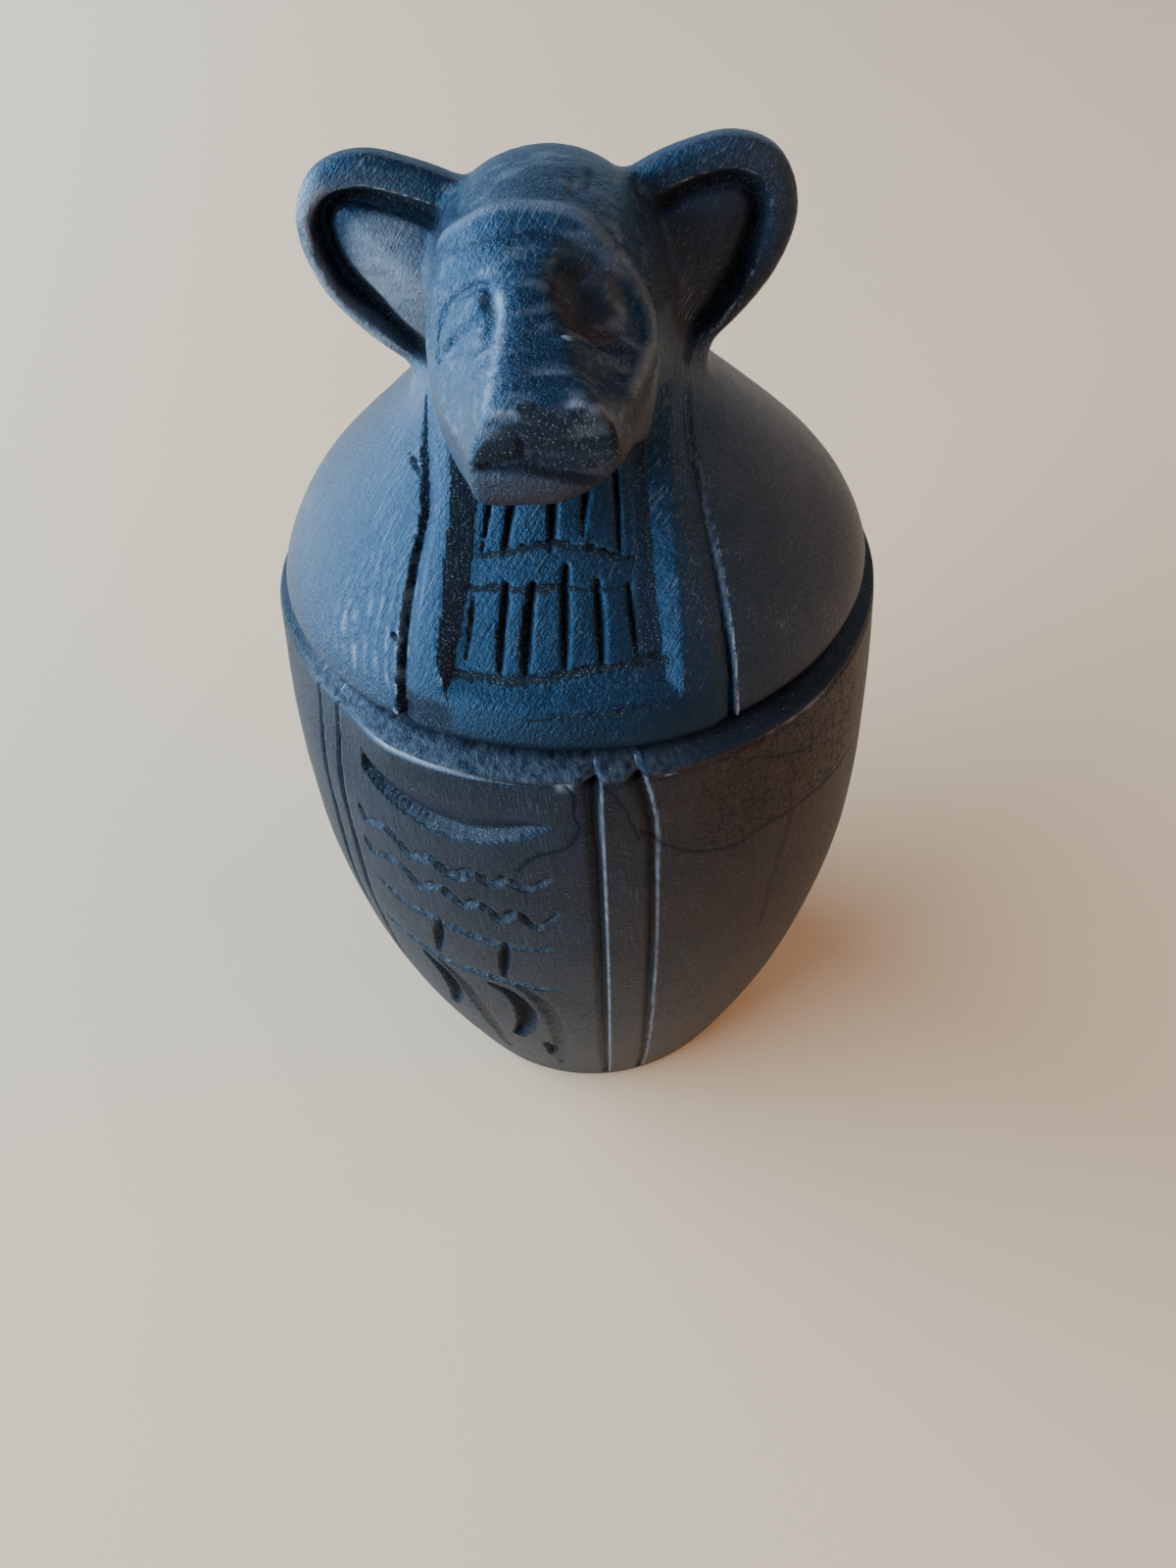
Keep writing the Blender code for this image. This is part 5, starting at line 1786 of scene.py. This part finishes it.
@dataclass(frozen=True)
class Studio:
    """The plain pale floor, the soft light, and the camera at the photograph's place."""

    floor_colour: tuple[float, float, float, float] = colour(1.0, 0.61, 0.35)
    floor_size: float = 4.0
    camera_place: tuple[float, float, float] = (6.55, -85.18, 135.66)
    heading: float = -4.30
    pitch: float = 50.0
    roll: float = 2.89
    lens: float = 27.0
    lights: tuple[Softbox, ...] = (
        Softbox("window", (-0.70, -0.02, 0.30), (0.0, 0.0, 0.08), (1.35, 0.50), 32.0, (0.42, 0.70, 1.0)),
        Softbox("sky", (-0.35, -0.10, 0.75), (0.0, 0.0, 0.05), (0.9, 0.9), 2.6, (0.42, 0.70, 1.0)),
        Softbox("back", (0.0, 0.80, 0.30), (0.0, 0.0, 0.08), (1.2, 0.4), 2.2, (0.55, 0.78, 1.0)),
        Softbox("front", (-0.62, -0.50, 0.22), (0.0, 0.0, 0.08), (0.4, 0.3), 1.2, (0.95, 0.92, 0.95)),
        Softbox("room", (0.70, -0.10, 0.45), (0.0, 0.0, 0.04), (0.9, 0.6), 3.6, (1.0, 0.76, 0.56)),
    )

    def build(self) -> None:
        """Sets out the floor, the lights, the dim room and the camera."""
        self.floor()
        for light in self.lights:
            light.build()
        world = bpy.data.worlds.new("studio")
        world.use_nodes = True
        background = world.node_tree.nodes["Background"]
        background.inputs["Color"].default_value = colour(0.70, 0.74, 0.80)
        background.inputs["Strength"].default_value = 0.06
        bpy.context.scene.world = world
        self.camera()

    def floor(self) -> None:
        """A plain matt floor, just under the object."""
        half = self.floor_size / 2
        mesh = bpy.data.meshes.new("floor")
        corners = [(-half, -half, 0.0), (half, -half, 0.0), (half, half, 0.0), (-half, half, 0.0)]
        mesh.from_pydata(corners, [], [(0, 1, 2, 3)])
        material = bpy.data.materials.new("floor")
        material.use_nodes = True
        shader = material.node_tree.nodes["Principled BSDF"]
        shader.inputs["Base Color"].default_value = self.floor_colour
        shader.inputs["Roughness"].default_value = 0.8
        mesh.materials.append(material)
        floor = bpy.data.objects.new("floor", mesh)
        bpy.context.scene.collection.objects.link(floor)

    def camera(self) -> None:
        """Places the camera by its heading from +Y, its pitch below level and its roll."""
        heading, pitch, roll = np.radians((self.heading, self.pitch, self.roll))
        forward = np.array((np.sin(heading) * np.cos(pitch), np.cos(heading) * np.cos(pitch), -np.sin(pitch)))
        level = np.array((np.cos(heading), -np.sin(heading), 0.0))
        down = np.cross(forward, level)
        right = np.cos(roll) * level + np.sin(roll) * down
        up = np.sin(roll) * level - np.cos(roll) * down
        data = bpy.data.cameras.new("camera")
        data.sensor_fit = "VERTICAL"
        data.sensor_height = 36.0
        data.lens = self.lens
        data.clip_start = 0.005
        camera = bpy.data.objects.new("camera", data)
        stand(camera, np.array(self.camera_place) * MM, (right, up, -forward))
        bpy.context.scene.camera = camera


def head_ears() -> list[Ear]:
    """The two ears, whose outlines differ a little, as handwork does."""
    lobe = ((8.0, -0.4), (4.0, -1.0), (0.5, 2.0), (0.5, 11.0))
    root = (4.6, 13.6)
    left = ((9.3, 15.6), (13.4, 16.5), (17.0, 15.2), (18.5, 11.6), (17.0, 6.6), (12.4, 1.8))
    right = ((9.3, 15.8), (13.7, 16.58), (17.2, 15.0), (18.5, 11.0), (16.6, 6.2), (12.2, 1.6))
    return [
        Ear(side=-1, outline=(root, *left, *lobe), swell=1.2, spread=4.6, taper=0.5, wedge=0.14),
        Ear(side=1, outline=(root, *right, *lobe), groove_depth=0.5, bowl_depth=0.8, swell=0.8, wedge=0.12),
    ]


def main() -> None:
    """Builds the jar, the lid and the studio."""
    logging.basicConfig(level=logging.INFO)
    jar_low, jar_high = (np.array(corner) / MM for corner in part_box("jar"))
    effects = Effects()
    jar = Jar(JarSkin(height=jar_high[2] - jar_low[2], belly_radius=0.5 * (jar_high[0] - jar_low[0])))
    dressed(jar.build(), "jar", JAR_FINISH.material(effects))
    seat = jar.skin.height + 0.3
    dome = Dome(DomeSkin(foot=seat))
    head = Head(foot=(-0.8, dome.skin.back, seat + 17.5), ears=head_ears())
    dressed(Lid(dome, head).build(), "lid", LID_FINISH.material(effects))
    Studio().build()


if __name__ == "__main__":
    main()
